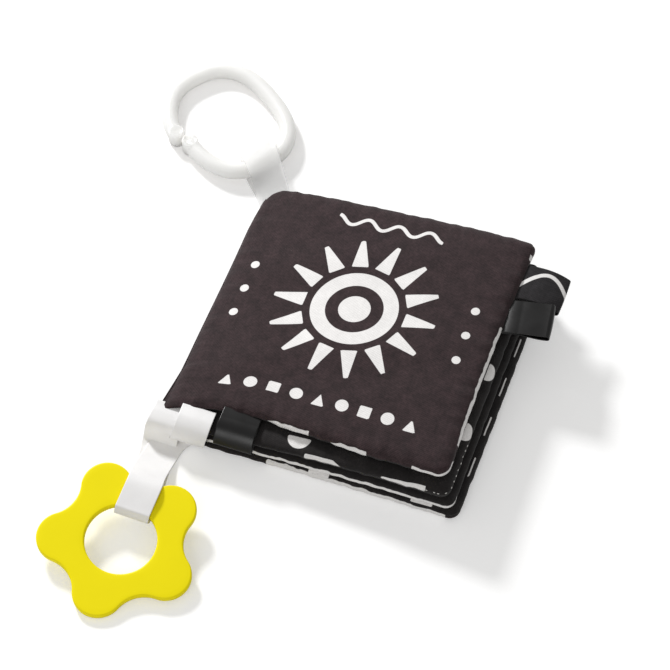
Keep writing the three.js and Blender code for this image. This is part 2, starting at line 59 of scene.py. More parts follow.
def put(name, points, faces, flat=None, values=None, smooth=True):
    """A mesh object from points in mm. flat gives each point's place on the unrolled cloth in mm,
    kept as the UV map, and values are named numbers per point, kept as attributes."""
    mesh = bpy.data.meshes.new(name)
    faces = faces.tolist() if isinstance(faces, np.ndarray) else faces
    mesh.from_pydata((np.asarray(points, float) * MM).tolist(), [], faces)
    if flat is not None:
        corners = np.empty(len(mesh.loops), np.int32)
        mesh.loops.foreach_get("vertex_index", corners)
        layer = mesh.uv_layers.new(name="cloth")
        layer.data.foreach_set("uv", np.asarray(flat, np.float32)[corners].ravel())
    for key, value in (values or {}).items():
        attribute = mesh.attributes.new(key, "FLOAT", "POINT")
        attribute.data.foreach_set("value", np.asarray(value, np.float32))
    mesh.polygons.foreach_set("use_smooth", [smooth] * len(mesh.polygons))
    mesh.update()
    piece = bpy.data.objects.new(name, mesh)
    bpy.context.scene.collection.objects.link(piece)
    return piece


def quads(index):
    """Four-sided faces between the neighbouring rows and columns of an array of point numbers."""
    corners = index[:-1, :-1], index[:-1, 1:], index[1:, 1:], index[1:, :-1]
    return np.stack(corners, axis=-1).reshape(-1, 4)


def grid_faces(rows, columns, around=False, closed=False):
    """Faces between rows of points: around joins the last column to the first, and closed the
    last row to the first."""
    index = np.arange(rows * columns).reshape(rows, columns)
    if around:
        index = np.hstack([index, index[:, :1]])
    if closed:
        index = np.vstack([index, index[:1]])
    return quads(index)


def tube_faces(rows, count):
    """Faces of a tube of rows of points, closed round the two poles that follow them."""
    first = np.arange(count)
    last = first + (rows - 1) * count
    ends = [[rows * count + end, here, after] for end, ring in enumerate((first[::-1], last))
            for here, after in zip(ring, np.roll(ring, -1))]
    return grid_faces(rows, count, around=True).tolist() + ends


def apply_modifiers(piece):
    """The piece's mesh becomes the one that its modifiers give, and they go."""
    graph = bpy.context.evaluated_depsgraph_get()
    mesh = bpy.data.meshes.new_from_object(piece.evaluated_get(graph), depsgraph=graph)
    piece.modifiers.clear()
    piece.data = mesh
    mesh.polygons.foreach_set("use_smooth", [True] * len(mesh.polygons))
    return piece


def lathe(profile, at, count=48):
    """A closed turned solid: radius and height pairs from the bottom pole to the top one, round
    the upright line through at."""
    radius, height = np.asarray(profile, float).T
    rows = len(radius) - 2
    turn = np.linspace(0, TAU, count, endpoint=False)
    wall = np.stack([radius[1:-1, None] * np.cos(turn), radius[1:-1, None] * np.sin(turn),
                     np.broadcast_to(height[1:-1, None], (rows, count))], axis=-1)
    points = np.vstack([wall.reshape(-1, 3), [[0, 0, height[0]], [0, 0, height[-1]]]]) + at
    return points, tube_faces(rows, count)


def unit(vectors):
    """The vectors at length 1."""
    return vectors / np.linalg.norm(vectors, axis=-1, keepdims=True)


def run_along(path):
    """Distance along a path to each of its points."""
    return np.concatenate([[0], np.cumsum(np.linalg.norm(np.diff(path, axis=0), axis=1))])


def points_at(path, places):
    """Points on a path at these distances along it."""
    run = run_along(path)
    return np.stack([np.interp(places, run, path[:, axis]) for axis in range(3)], axis=1)


def curve(points, count):
    """A centripetal Catmull-Rom curve through the points, cut at count + 1 places equally far
    apart along it. Each stretch between two points is worked out at 40 places first."""
    points = np.asarray(points, float)
    ends = np.vstack([2 * points[0] - points[1], points, 2 * points[-1] - points[-2]])
    steps = np.sqrt(np.linalg.norm(np.diff(ends, axis=0), axis=1))
    knots = np.concatenate([[0], np.cumsum(steps)])
    stretches = []
    share = np.linspace(0, 1, 40, endpoint=False)[:, None]
    for i in range(1, len(ends) - 2):
        t0, t1, t2, t3 = knots[i - 1:i + 3]
        p0, p1, p2, p3 = ends[i - 1:i + 3]
        t = t1 + (t2 - t1) * share
        a1 = ((t1 - t) * p0 + (t - t0) * p1) / (t1 - t0)
        a2 = ((t2 - t) * p1 + (t - t1) * p2) / (t2 - t1)
        a3 = ((t3 - t) * p2 + (t - t2) * p3) / (t3 - t2)
        b1 = ((t2 - t) * a1 + (t - t0) * a2) / (t2 - t0)
        b2 = ((t3 - t) * a2 + (t - t1) * a3) / (t3 - t1)
        stretches.append(((t2 - t) * b1 + (t - t1) * b2) / (t2 - t1))
    dense = np.vstack([*stretches, points[-1:]])
    return points_at(dense, np.linspace(0, run_along(dense)[-1], count + 1))


def smoothstep(value, low, high):
    """0 below low, 1 above high, and the cubic with level ends between them."""
    share = np.clip((value - low) / (high - low), 0, 1)
    return share * share * (3 - 2 * share)


def ripple(seed, along, lengths=(6.7, 9.7, 14.3, 22.1)):
    """A fixed sum of sines of these wavelengths in mm, with seeded phases, between -1 and 1."""
    phases = np.random.default_rng(seed).uniform(0, TAU, len(lengths))
    return sum(np.sin(TAU * along / length + phase)
               for length, phase in zip(lengths, phases)) / len(lengths)


def gathers(seed, along, spacing=8.5, count=24):
    """Narrow dips where the seam's thread draws the cloth in: bell curves of seeded depth, from
    0.2 to 1, and seeded width, from 0.7 to 2 mm, at seeded places about spacing mm apart."""
    draw = np.random.default_rng(seed)
    places = np.cumsum(draw.uniform(0.4, 1.6, count) * spacing) - spacing * count / 2
    depths, widths = draw.uniform(0.2, 1.0, count), draw.uniform(0.7, 2.0, count)
    return -sum(depth * np.exp(-((along - place) / width) ** 2)
                for place, depth, width in zip(places, depths, widths))


# Materials

def linear(code, alpha=1.0):
    """An sRGB hex colour as linear RGBA."""
    channels = [int(code[i:i + 2], 16) / 255 for i in (1, 3, 5)]
    return [c / 12.92 if c <= 0.04045 else ((c + 0.055) / 1.055) ** 2.4 for c in channels] + [alpha]


def add(tree, kind, sockets=None, **settings):
    """One shader node with its settings. Each socket gets a value, or a link from a node's
    output."""
    made = tree.nodes.new("ShaderNode" + kind)
    for key, value in settings.items():
        setattr(made, key, value)
    for key, value in (sockets or {}).items():
        if isinstance(value, bpy.types.NodeSocket):
            tree.links.new(value, made.inputs[key])
        else:
            made.inputs[key].default_value = value
    return made


def material(name):
    """An empty node material, its tree and its output node."""
    made = bpy.data.materials.new(name)
    made.use_nodes = True
    made.node_tree.nodes.clear()
    return made, made.node_tree, made.node_tree.nodes.new("ShaderNodeOutputMaterial")


def woven_height(tree, place, thread):
    """Height of a plain weave: the product of a sine across the warp and one across the weft,
    each one thread wide."""
    split = add(tree, "SeparateXYZ", {0: place})
    waves = []
    for axis in "XY":
        turn = add(tree, "Math", {0: split.outputs[axis], 1: math.pi / thread}, operation="MULTIPLY")
        waves.append(add(tree, "Math", {0: turn.outputs[0]}, operation="SINE").outputs[0])
    return add(tree, "Math", {0: waves[0], 1: waves[1]}, operation="MULTIPLY").outputs[0]


def printed_cotton(name, black, white):
    """Printed cotton poplin, plain woven and matt. Its ink attribute is the distance in mm inside
    the white shapes. Threads are 0.25 mm in such cloth and drawn 0.6 mm here, so that the weave
    shows. Slubs in the yarn and clouds in the dye vary its tone, and the ink's edge wanders with
    the fibres."""
    thread, fibre, slub, cloud = 0.6, 0.526, 1.333, 5.88  # sizes in mm
    ink_edge, ink_wander = 0.09, 0.16                     # mm, half its width and its wander
    slub_tone, cloud_tone, thread_tone = 1.5, 1.5, 0.10   # how strongly each varies the tone
    cover = 0.86                                          # the white ink's share of its own tone
    made, tree, out = material(name)
    place = add(tree, "UVMap", uv_map="cloth").outputs[0]
    ink = add(tree, "Attribute", attribute_name="ink").outputs["Fac"]
    fibres, slubs, clouds = (
        add(tree, "TexNoise", {"Vector": place, "Scale": 1 / size, "Detail": detail}).outputs["Fac"]
        for size, detail in ((fibre, 3.0), (slub, 5.0), (cloud, 5.0)))
    weave = woven_height(tree, place, thread)
    edge = add(tree, "Math", {0: fibres, 1: ink_wander, 2: -ink_wander / 2},
               operation="MULTIPLY_ADD").outputs[0]
    rough_ink = add(tree, "Math", {0: ink, 1: edge}, operation="ADD").outputs[0]
    inked = add(tree, "MapRange",
                {"Value": rough_ink, "From Min": -ink_edge, "From Max": ink_edge}).outputs[0]
    tone, grain = (
        add(tree, "Math", {0: noise, 1: spread, 2: 1 - spread / 2}, operation="MULTIPLY_ADD").outputs[0]
        for noise, spread in ((clouds, cloud_tone), (slubs, slub_tone)))
    threads = add(tree, "Math", {0: weave, 1: thread_tone, 2: 1.0},
                  operation="MULTIPLY_ADD").outputs[0]
    shade = add(tree, "Math", {0: grain, 1: threads}, operation="MULTIPLY").outputs[0]
    shade = add(tree, "Math", {0: shade, 1: tone}, operation="MULTIPLY").outputs[0]
    dyed = add(tree, "Mix", {"Factor": 1.0, "A": linear(black), "B": shade},
               data_type="RGBA", blend_type="MULTIPLY").outputs["Result"]
    pale = add(tree, "Math", {0: shade, 1: 1 - cover, 2: cover},
               operation="MULTIPLY_ADD").outputs[0]
    covered = add(tree, "Mix", {"Factor": 1.0, "A": linear(white), "B": pale},
                  data_type="RGBA", blend_type="MULTIPLY").outputs["Result"]
    colour = add(tree, "Mix", {"Factor": inked, "A": dyed, "B": covered},
                 data_type="RGBA").outputs["Result"]
    nap = add(tree, "Math", {0: fibres, 1: 0.8, 2: weave}, operation="MULTIPLY_ADD").outputs[0]
    bump = add(tree, "Bump", {"Height": nap, "Strength": 0.35, "Distance": 0.12 * MM})
    shader = add(tree, "BsdfPrincipled", {
        "Base Color": colour, "Roughness": 0.86, "Normal": bump.outputs[0],
        "Sheen Weight": 0.12, "Sheen Roughness": 0.5, "Specular IOR Level": 0.25})
    tree.links.new(shader.outputs[0], out.inputs["Surface"])
    return made


def satin(name, colour, roughness, shine, through, cover=1.0):
    """Double-faced polyester satin ribbon: smooth, with a broad gloss along the floats and fine
    cross ribs, 0.25 mm in real ribbon and drawn 0.5 mm. shine is the specular level, through the
    share of light that passes spread out, and cover how much the ribbon hides of what lies behind
    it. A wave texture turns through 20 radians in each unit at scale 1."""
    rib, cloud = 0.499, 9.09                              # sizes in mm
    cloud_tone, cloud_gloss = 0.14, 0.16                  # how strongly it varies tone and gloss
    made, tree, out = material(name)
    place = add(tree, "UVMap", uv_map="cloth").outputs[0]
    ribs = add(tree, "TexWave",
               {"Vector": place, "Scale": TAU / 20 / rib, "Distortion": 0.35, "Detail": 1.0},
               wave_type="BANDS", bands_direction="X").outputs["Fac"]
    clouds = add(tree, "TexNoise",
                 {"Vector": place, "Scale": 1 / cloud, "Detail": 3.0}).outputs["Fac"]
    tone = add(tree, "Math", {0: clouds, 1: cloud_tone, 2: 1 - cloud_tone / 2},
               operation="MULTIPLY_ADD").outputs[0]
    shaded = add(tree, "Mix", {"Factor": 1.0, "A": linear(colour), "B": tone},
                 data_type="RGBA", blend_type="MULTIPLY").outputs["Result"]
    gloss = add(tree, "Math", {0: clouds, 1: cloud_gloss, 2: roughness - cloud_gloss / 2},
                operation="MULTIPLY_ADD").outputs[0]
    bump = add(tree, "Bump", {"Height": ribs, "Strength": 0.15, "Distance": 0.06 * MM})
    shader = add(tree, "BsdfPrincipled", {
        "Base Color": shaded, "Roughness": gloss, "Normal": bump.outputs[0],
        "Sheen Weight": 0.04, "Sheen Roughness": 0.35, "Specular IOR Level": shine,
        "Alpha": cover})
    glow = add(tree, "BsdfTranslucent", {"Color": shaded})
    both = add(tree, "MixShader", {0: through, 1: shader.outputs[0], 2: glow.outputs[0]})
    tree.links.new(both.outputs[0], out.inputs["Surface"])
    return made


def moulded(name, colour, roughness, mirror, soft, depth):
    """Moulded plastic with a faint orange-peel gloss. soft is the share of light that scatters
    under its skin, to that depth in mm, and mirror the specular level."""
    cloud, peel = 16.7, 1.11                              # sizes in mm
    cloud_tone, peel_gloss = 0.06, 0.12                   # how strongly they vary tone and gloss
    made, tree, out = material(name)
    place = add(tree, "TexCoord").outputs["Object"]
    clouds, peels = (
        add(tree, "TexNoise", {"Vector": place, "Scale": 1 / (size * MM), "Detail": 2.0}).outputs["Fac"]
        for size in (cloud, peel))
    tone = add(tree, "Math", {0: clouds, 1: cloud_tone, 2: 1 - cloud_tone / 2},
               operation="MULTIPLY_ADD").outputs[0]
    shaded = add(tree, "Mix", {"Factor": 1.0, "A": linear(colour), "B": tone},
                 data_type="RGBA", blend_type="MULTIPLY").outputs["Result"]
    gloss = add(tree, "Math", {0: peels, 1: peel_gloss, 2: roughness - peel_gloss / 2},
                operation="MULTIPLY_ADD").outputs[0]
    bump = add(tree, "Bump", {"Height": peels, "Strength": 0.08, "Distance": 0.1 * MM})
    shader = add(tree, "BsdfPrincipled", {
        "Base Color": shaded, "Roughness": gloss, "Normal": bump.outputs[0],
        "Subsurface Weight": soft, "Subsurface Radius": (1.0, 1.0, 1.0),
        "Subsurface Scale": depth * MM, "Specular IOR Level": mirror})
    tree.links.new(shader.outputs[0], out.inputs["Surface"])
    return made


COVER_BLACK, PAGE_BLACK, PRINT_WHITE = "#332628", "#1E1B1B", "#F0EEED"

# Pigment-printed poplin: matt, a warm charcoal on the covers and nearly black on the pages
cover_cotton = printed_cotton("printed cotton, charcoal", COVER_BLACK, PRINT_WHITE)
page_cotton = printed_cotton("printed cotton, black", PAGE_BLACK, PRINT_WHITE)
# Polyester satin: a soft broad gloss. The link's ribbon is thin enough to see the floor through
white_satin = satin("white satin ribbon", "#FDFCFC", 0.42, 0.5, 0.06)
sheer_satin = satin("sheer white satin ribbon", "#FFFFFF", 0.42, 0.5, 0.0, 0.36)
black_satin = satin("black satin ribbon", "#0A090A", 0.31, 0.45, 0.0)
white_thread = satin("white polyester thread", "#D8D5D2", 0.6, 0.3, 0.0)
# Woven tape: matt, its white wave woven in
woven_tape = printed_cotton("woven tape, black with white", "#232123", PRINT_WHITE)
# Moulded polypropylene: milky, as light passes deep under its skin
link_plastic = moulded("milky polypropylene", "#FAF6F0", 0.30, 0.45, 1.0, 16.0)
# Moulded silicone rubber: an even, half matt yellow
star_rubber = moulded("yellow moulded rubber", "#FFEE02", 0.5, 0.18, 0.0, 1.0)


# Camera, floor and light

def stand_camera():
    """The camera stands at the photograph's angle, in front of the book and a little to its
    right, and looks at a point near the book's middle. Its place and lens were fitted to the
    book's corners in the photograph."""
    rise, turn, distance = math.radians(56), math.radians(19.365), 1454.36
    target = Vector((-17.4, 11.1, 0))
    away = Vector((math.sin(turn) * math.cos(rise), -math.cos(turn) * math.cos(rise), math.sin(rise)))
    camera = bpy.data.objects.new("camera", bpy.data.cameras.new("camera"))
    camera.data.lens = 169.53
    camera.location = (target + distance * away) * MM
    camera.rotation_euler = (-away).to_track_quat("-Z", "Y").to_euler()
    bpy.context.scene.collection.objects.link(camera)
    bpy.context.scene.camera = camera


def lay_floor():
    """A white sheet of paper, its grain drawn as coarse as 2.5 mm. What the camera sees of it is
    lifted to white, and the shadow on it stays."""
    paper_grain, lift_strength, reach = 2.5, 0.34, 2000
    made, tree, out = material("white paper sweep")
    grain = add(tree, "TexNoise", {"Vector": add(tree, "TexCoord").outputs["Object"],
                                   "Scale": 1 / (paper_grain * MM), "Detail": 2.0}).outputs["Fac"]
    bump = add(tree, "Bump", {"Height": grain, "Strength": 0.05, "Distance": 0.1 * MM})
    paper = add(tree, "BsdfDiffuse", {"Color": linear("#EDEDED"), "Normal": bump.outputs[0]})
    lift = add(tree, "Emission", {"Color": linear("#FFFFFF"), "Strength": lift_strength})
    both = add(tree, "AddShader", {0: paper.outputs[0], 1: lift.outputs[0]})
    seen = add(tree, "LightPath").outputs["Is Camera Ray"]
    mixed = add(tree, "MixShader", {0: seen, 1: paper.outputs[0], 2: both.outputs[0]})
    tree.links.new(mixed.outputs[0], out.inputs["Surface"])
    corners = [(-reach, -reach, 0), (reach, -reach, 0), (reach, reach, 0), (-reach, reach, 0)]
    floor = put("floor", corners, [(0, 1, 2, 3)], smooth=False)
    floor.data.materials.append(made)


def light_scene():
    """A small strong key from the far left, a weak wide window in front that gives the satin its
    bands of gloss, and the room's even light. Lamps are given by the way to them, their distance
    and size in m and their power in W."""
    world = bpy.data.worlds.new("room")
    bpy.context.scene.world = world
    world.use_nodes = True
    tree = world.node_tree
    tree.nodes.clear()
    seen = add(tree, "LightPath").outputs["Is Camera Ray"]
    room = add(tree, "Background", {"Color": linear("#FBFAF8"), "Strength": 0.42})
    white = add(tree, "Background", {"Color": linear("#FFFFFF"), "Strength": 1.0})
    mixed = add(tree, "MixShader", {0: seen, 1: room.outputs[0], 2: white.outputs[0]})
    out = tree.nodes.new("ShaderNodeOutputWorld")
    tree.links.new(mixed.outputs[0], out.inputs["Surface"])
    for name, toward, distance, size, power in [
        ("key", (-0.65, 0.52, 0.56), 1.5, 0.27, 18.8),
        ("window", (-0.12, -0.82, 0.56), 1.5, 0.7, 3.5),
    ]:
        lamp = bpy.data.lights.new(name, "AREA")
        lamp.shape = "DISK"
        lamp.size = size
        lamp.energy = power
        made = bpy.data.objects.new(name, lamp)
        made.location = Vector(toward).normalized() * distance
        made.rotation_euler = Vector(toward).to_track_quat("Z", "Y").to_euler()
        bpy.context.scene.collection.objects.link(made)
    bpy.context.scene.view_settings.view_transform = "Standard"


stand_camera()
lay_floor()
light_scene()


# Shape of a leaf

LENGTH, DEPTH = 134.0, 130.0          # spine to open edge, near edge to far edge
STEP, SHIFT = 2.2, 5.0                # each leaf's step to the spine, the front cover's shift
COVER = 3                             # the front cover's place in the stack
COVER_EDGE = -STEP * COVER - LENGTH / 2
THIN, TAPER, FULL = 3.6, 0.03358, 2.25    # thickness at the spine, its rise per mm, its swell
GAP = 0.3                             # air between leaves
SHOULDER, ROUNDNESS = 6.2, 2.35       # the rounded border's width, its superellipse's power
RINGS, EDGE_RINGS = ((96, 18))
LEAF_SEED = 101                       # the back cover's, and each leaf's is 10 more
# Corner radii of each leaf: spine near and far, open near and far
CORNERS = {0: ((4.0, 5.0), (5.2, 4.5)), 1: ((4.0, 5.0), (4.6, 4.5)),
           2: ((4.0, 5.0), (5.0, 3.0)), 3: ((2.6, 9.0), (6.2, 3.8))}
# How far each leaf's sides pull in between their corners
DRAW_IN = 1.6
NEAR_DRAW = {0: 0.5, 1: 0.5, 2: 1.2, 3: 1.6}
OPEN_DRAW = {0: -0.3, 1: 0.3, 2: 0.3, 3: 1.6}
# How far the soft sides stand out
NEAR_OUT = {0: 1.7, 1: 1.8, 2: 1.8, 3: 0.4}
FAR_OUT = 2.6                         # the front cover's far side, which is full
NEAR_BULGE = 1.4                      # the front cover's near side past the front tag
PAGE_CORNER_OUT = 1.0                 # the upper page's far open corner
PULL_SPAN, PULL_IN = 93.6, 4.2        # the near stretch that the ribbons pull in, and how far
SPINE_CORNER = 5.0                    # the spine cloth ends this far from the corners


def thickness(x):
    """Thickness of one leaf in mm: a straight taper and a swell like sqrt(s) (1 - s), fullest
    near the spine."""
    share = np.clip((x - COVER_EDGE) / (LENGTH / 2 - COVER_EDGE), 0, 1)
    return THIN + TAPER * (x + LENGTH / 2) + FULL * np.sqrt(share) * (1 - share)


def leaf_floor(level, x):
    """Height of a leaf's underside: the back cover's lies on the floor."""
    return level * thickness(x) + GAP / 2 if level else 0 * x


def leaf_ceiling(level, x):
    """Height of a leaf's upper side."""
    return (level + 1) * thickness(x) - GAP / 2


def pulled_in(level, x):
    """How far the ribbons pull the front cover's near seam in: a sine over the power 0.7 of the
    way along the pulled stretch."""
    share = np.clip((x - COVER_EDGE) / PULL_SPAN, 0, 1)
    return PULL_IN * np.sin(np.pi * share ** 0.7) * (level == COVER)


def spine_lean(v):
    """How far the front cover's spine edge stands off its straight line at the place v along it:
    1.2 mm and then 1.7 mm more toward +X in smooth steps on the way to its far end, and 2.6 mm
    the other way at its near corner."""
    return (1.2 * smoothstep(v, -40, 30) + 1.7 * smoothstep(v, 42, 65)
            - 2.6 * smoothstep(-v, 38, 66))


def leaf_plan(level, u, v):
    """A leaf's places seen from above, from places on a plain rectangle: its sides are drawn in
    by parabolas between their corners, and the soft ones stand out."""
    along_u, along_v = 2 * u / LENGTH, 2 * v / DEPTH
    near, far = np.maximum(-along_v, 0) ** 2, np.maximum(along_v, 0) ** 2
    spine, open_side = np.maximum(-along_u, 0) ** 2, np.maximum(along_u, 0)
    corner_out = PAGE_CORNER_OUT * (level == 2) * far * open_side ** 4
    x = -STEP * level + u - OPEN_DRAW[level] * (1 - along_v ** 2) * open_side
    x = x + spine_lean(v) * spine * level / COVER + corner_out
    draw = np.where(v < 0, NEAR_DRAW[level], DRAW_IN)
    y = (SHIFT * (level == COVER) + v - draw * (1 - along_u ** 2) * along_v
         + (pulled_in(level, x) - NEAR_OUT[level]) * near)
    if level == COVER:
        y = y + FAR_OUT * (1 - along_u ** 4) * far - NEAR_BULGE * smoothstep(x, -32, -14) * near
    return x, y


def ring_grid(rings, edge_rings, shoulder, roundness, corners):
    """Flat places on a rounded rectangle over a square grid of 2 rings + 1 points a side.

    Points whose larger index is k lie on ring k. The outer edge_rings follow the quarter of a
    superellipse of that roundness, which says how far in each ring lies and how high it stands
    (0 at the rim to 1 on the face). The inner rings shrink evenly to the middle. Returns u, v,
    inset, height, and the level direction out of the leaf."""
    index = np.arange(-rings, rings + 1)
    i, j = np.meshgrid(index, index, indexing="ij")
    ring = np.maximum(abs(i), abs(j))
    flat_rings = rings - edge_rings
    angle = np.clip((rings - ring) / edge_rings, 0, 1) * math.pi / 2
    inset = shoulder * (1 - np.maximum(np.cos(angle), 0) ** (2 / roundness))
    height = np.sin(angle) ** (2 / roundness)
    inner = np.minimum(ring / flat_rings, 1)
    half_u = np.where(ring >= flat_rings, LENGTH / 2 - inset, (LENGTH / 2 - shoulder) * inner)
    half_v = np.where(ring >= flat_rings, DEPTH / 2 - inset, (DEPTH / 2 - shoulder) * inner)
    corner = np.array(corners)[(i > 0).astype(int), (j > 0).astype(int)]
    radius = np.maximum(corner - inset, 0.02) * inner
    upright = abs(i) >= abs(j)
    half = np.where(upright, half_v, half_u)
    other = np.where(upright, half_u, half_v)
    share = np.where(upright, abs(j), abs(i)) / np.maximum(ring, 1)
    straight = half - radius
    run = share * (straight + radius * math.pi / 4)
    turn = np.clip((run - straight) / np.maximum(radius, 1e-9), 0, math.pi / 4)
    along = np.where(run <= straight, run, straight + radius * np.sin(turn))
    out = np.where(run <= straight, other, other - radius + radius * np.cos(turn))
    u = np.where(upright, out * np.sign(i), along * np.sign(i))
    v = np.where(upright, along * np.sign(j), out * np.sign(j))
    normal_u = np.where(upright, np.cos(turn), np.sin(turn)) * np.sign(i)
    normal_v = np.where(upright, np.sin(turn), np.cos(turn)) * np.sign(j)
    return u, v, inset, height, (normal_u, normal_v)


def unrolled(u, v, inset, height, reach, normal):
    """Places on the cloth laid flat, and the distance along it from the seam at the rim. reach is
    how far the face stands off the seam plane."""
    size = len(u)
    ring = np.maximum(*abs(np.indices((size, size)) - size // 2))
    steps = np.clip(RINGS - ring, 0, EDGE_RINGS)
    rim_in, rim_up = (part[size - 1 - np.arange(EDGE_RINGS + 1), size // 2]
                      for part in (inset, height))
    pieces = np.hypot(np.diff(rim_in), reach[..., None] * np.diff(rim_up))
    run = np.concatenate([np.zeros((size, size, 1)), np.cumsum(pieces, axis=-1)], axis=-1)
    rim = np.take_along_axis(run, steps[..., None], axis=-1)[..., 0]
    over = (run[..., -1] - rim) - (SHOULDER - inset)
    from_rim = np.minimum(LENGTH / 2 - abs(u), DEPTH / 2 - abs(v)) - SHOULDER
    rim = np.where(steps == EDGE_RINGS, rim + np.maximum(from_rim, 0), rim)
    return u + normal[0] * over, v + normal[1] * over, rim


def leaf_shape(level):
    """Points of both faces of a leaf on the ring grid. A face stands off the seam plane by the
    superellipse height. Ripples and gathers run off the seam, least at the corners: they make the
    outline uneven, fading over 3 mm, and pucker the faces, fading over 6 mm. Long ripples cross
    the front cover's face, which has a crown."""
    wave_x, wave_y = 0.24, 0.36
    crown, swelling = 2.0, 0.22
    pucker_up = 0.75 if level == COVER else 0.4
    pucker_between = 0.4
    seed = LEAF_SEED + 10 * level
    u, v, inset, height, normal = ring_grid(RINGS, EDGE_RINGS, SHOULDER, ROUNDNESS, CORNERS[level])
    x, y = leaf_plan(level, u, v)
    along_u, along_v = 2 * u / LENGTH, 2 * v / DEPTH
    from_side, from_end = DEPTH / 2 - abs(v), LENGTH / 2 - abs(u)
    calm = 1 - 0.85 * smoothstep(abs(along_u * along_v), 0.82, 0.95)
    ripple_u = (ripple(seed, u + 0.15 * v) + 0.5 * gathers(seed + 5, u + 0.1 * v)) * calm
    ripple_v = (ripple(seed + 1, v - 0.15 * u) + 0.5 * gathers(seed + 6, v - 0.1 * u)) * calm
    y = y + wave_y * np.sign(v) * ripple_u * np.exp(-from_side / 3)
    x = x + wave_x * np.sign(u) * ripple_v * np.exp(-from_end / 3)
    middle = (leaf_floor(level, x) + leaf_ceiling(level, x)) / 2
    pucker = (ripple_u * np.exp(-from_side / 6) * (1 - np.exp(-from_side / 1.5))
              + ripple_v * np.exp(-from_end / 6) * (1 - np.exp(-from_end / 1.5)))
    swell = ripple(seed + 2, u + 0.5 * v, (31, 43, 57)) + ripple(seed + 3, v - 0.4 * u, (29, 47, 61))
    faces, cloths = {}, {}
    for side in (1, -1):
        reach = leaf_ceiling(level, x) - middle if side > 0 else middle - leaf_floor(level, x)
        cloths[side] = unrolled(u, v, inset, height, reach, normal)
        lift = height * reach + (pucker_up if side > 0 else pucker_between) * pucker * height
        if side > 0 and level == COVER:
            crowned = crown * (1 - along_u ** 4) * (1 - along_v ** 4)
            swelled = swelling * swell * np.minimum(from_side, from_end) / 20
            lift = lift + height * (crowned + swelled)
        faces[side] = np.stack([x, y, middle + side * lift], axis=-1)
    if level == 0:
        faces[-1][..., 2] = np.maximum(faces[-1][..., 2], 0.0)
    return u, v, height, normal, faces, cloths


# Prints: each gives the distance in mm inside the white shapes, from places u, v on the cloth laid
# flat and the distance rim along it from the seam

BORDER = 50                           # the printed borders start this far from the middle


def disc(u, v, at_u, at_v, radius):
    """A round spot."""
    return radius - np.hypot(u - at_u, v - at_v)


def block(u, v, at_u, at_v, half_u, half_v):
    """A rectangle, by its middle and its half sides."""
    return np.minimum(half_u - abs(u - at_u), half_v - abs(v - at_v))


def triangle(u, v, at_u, base, tip):
    """A triangle on a level base, with sides that rise 2 in 1 to its tip."""
    return np.minimum(v - base, (tip - v - 2 * abs(u - at_u)) / math.sqrt(5))


def rays(u, v, at_u, at_v, count, near, far, near_half, far_half):
    """count tapered rays round a point, from the near radius to the far one."""
    radius = np.hypot(u - at_u, v - at_v)
    pitch = TAU / count
    turn = (np.arctan2(v - at_v, u - at_u) + pitch / 2) % pitch - pitch / 2
    along, across = radius * np.cos(turn), abs(radius * np.sin(turn))
    half = near_half + (far_half - near_half) * (along - near) / (far - near)
    return np.minimum(half - across, np.minimum(along - near, far - along))


def repeated(place, pitch):
    """The place measured from the middle of its own copy of a pattern of that pitch."""
    return place % pitch - pitch / 2


def checks(u, v, pitch, reach):
    """A chequerboard of that pitch inside a square of that half side."""
    across = pitch / 4 - abs(repeated(u, pitch))
    along = pitch / 4 - abs(repeated(v, pitch))
    same = np.where(across * along > 0, 1.0, -1.0) * np.minimum(abs(across), abs(along))
    return np.minimum(same, np.minimum(reach - abs(u), reach - abs(v)))


def near_bar(u, v, rim, span, rims, left=None, right=None):
    """A bar in the near border: between two places along it and two distances from the seam. Its
    ends are square, or slant by the slopes left and right. A small slope makes a long point that
    starts at the seam."""
    up = rim - rims[0]
    start = u - span[0] if left is None else (u - span[0]) * left - up
    end = span[1] - u if right is None else (span[1] - u) * right - 0.7 * up
    return np.minimum.reduce([up, rims[1] - rim, start, end, -v - BORDER])


def cover_print(u, v, rim):
    """A sun of rings and rays, a wavy line over it and a row of small shapes under it."""
    sun_u, sun_v = -1.0, 5.0
    away = np.hypot(u - sun_u, v - sun_v)
    rings = np.maximum(np.minimum(20.5 - away, away - 13.5), 7.5 - away)
    sun = np.maximum(rings, rays(u, v, sun_u, sun_v, 14, 24.0, 39.0, 3.9, 1.0))
    line_v, swing, wavelength, half_line = 53.0, 2.2, 15, 0.9
    turn = TAU * u / wavelength
    slope = swing * TAU / wavelength * np.cos(turn)
    line = half_line - abs(v - line_v - swing * np.sin(turn)) / np.sqrt(1 + slope ** 2)
    line = np.minimum(line, 26 - abs(u))
    row_v, pitch, shapes = -47.5, 11, []
    for k in range(-4, 5):
        if k % 2:
            shapes.append(disc(u, v, pitch * k, row_v, 3.1))
        elif k % 4:
            shapes.append(block(u, v, pitch * k, row_v, 2.9, 2.9))
        else:
            shapes.append(triangle(u, v, pitch * k, -51.0, -44.8))
    dots = [disc(u, v, side * 54 - 1, sun_v + step, 2.1) for side in (-1, 1) for step in (-14, 0, 14)]
    return np.maximum.reduce([sun, line, *shapes, *dots])


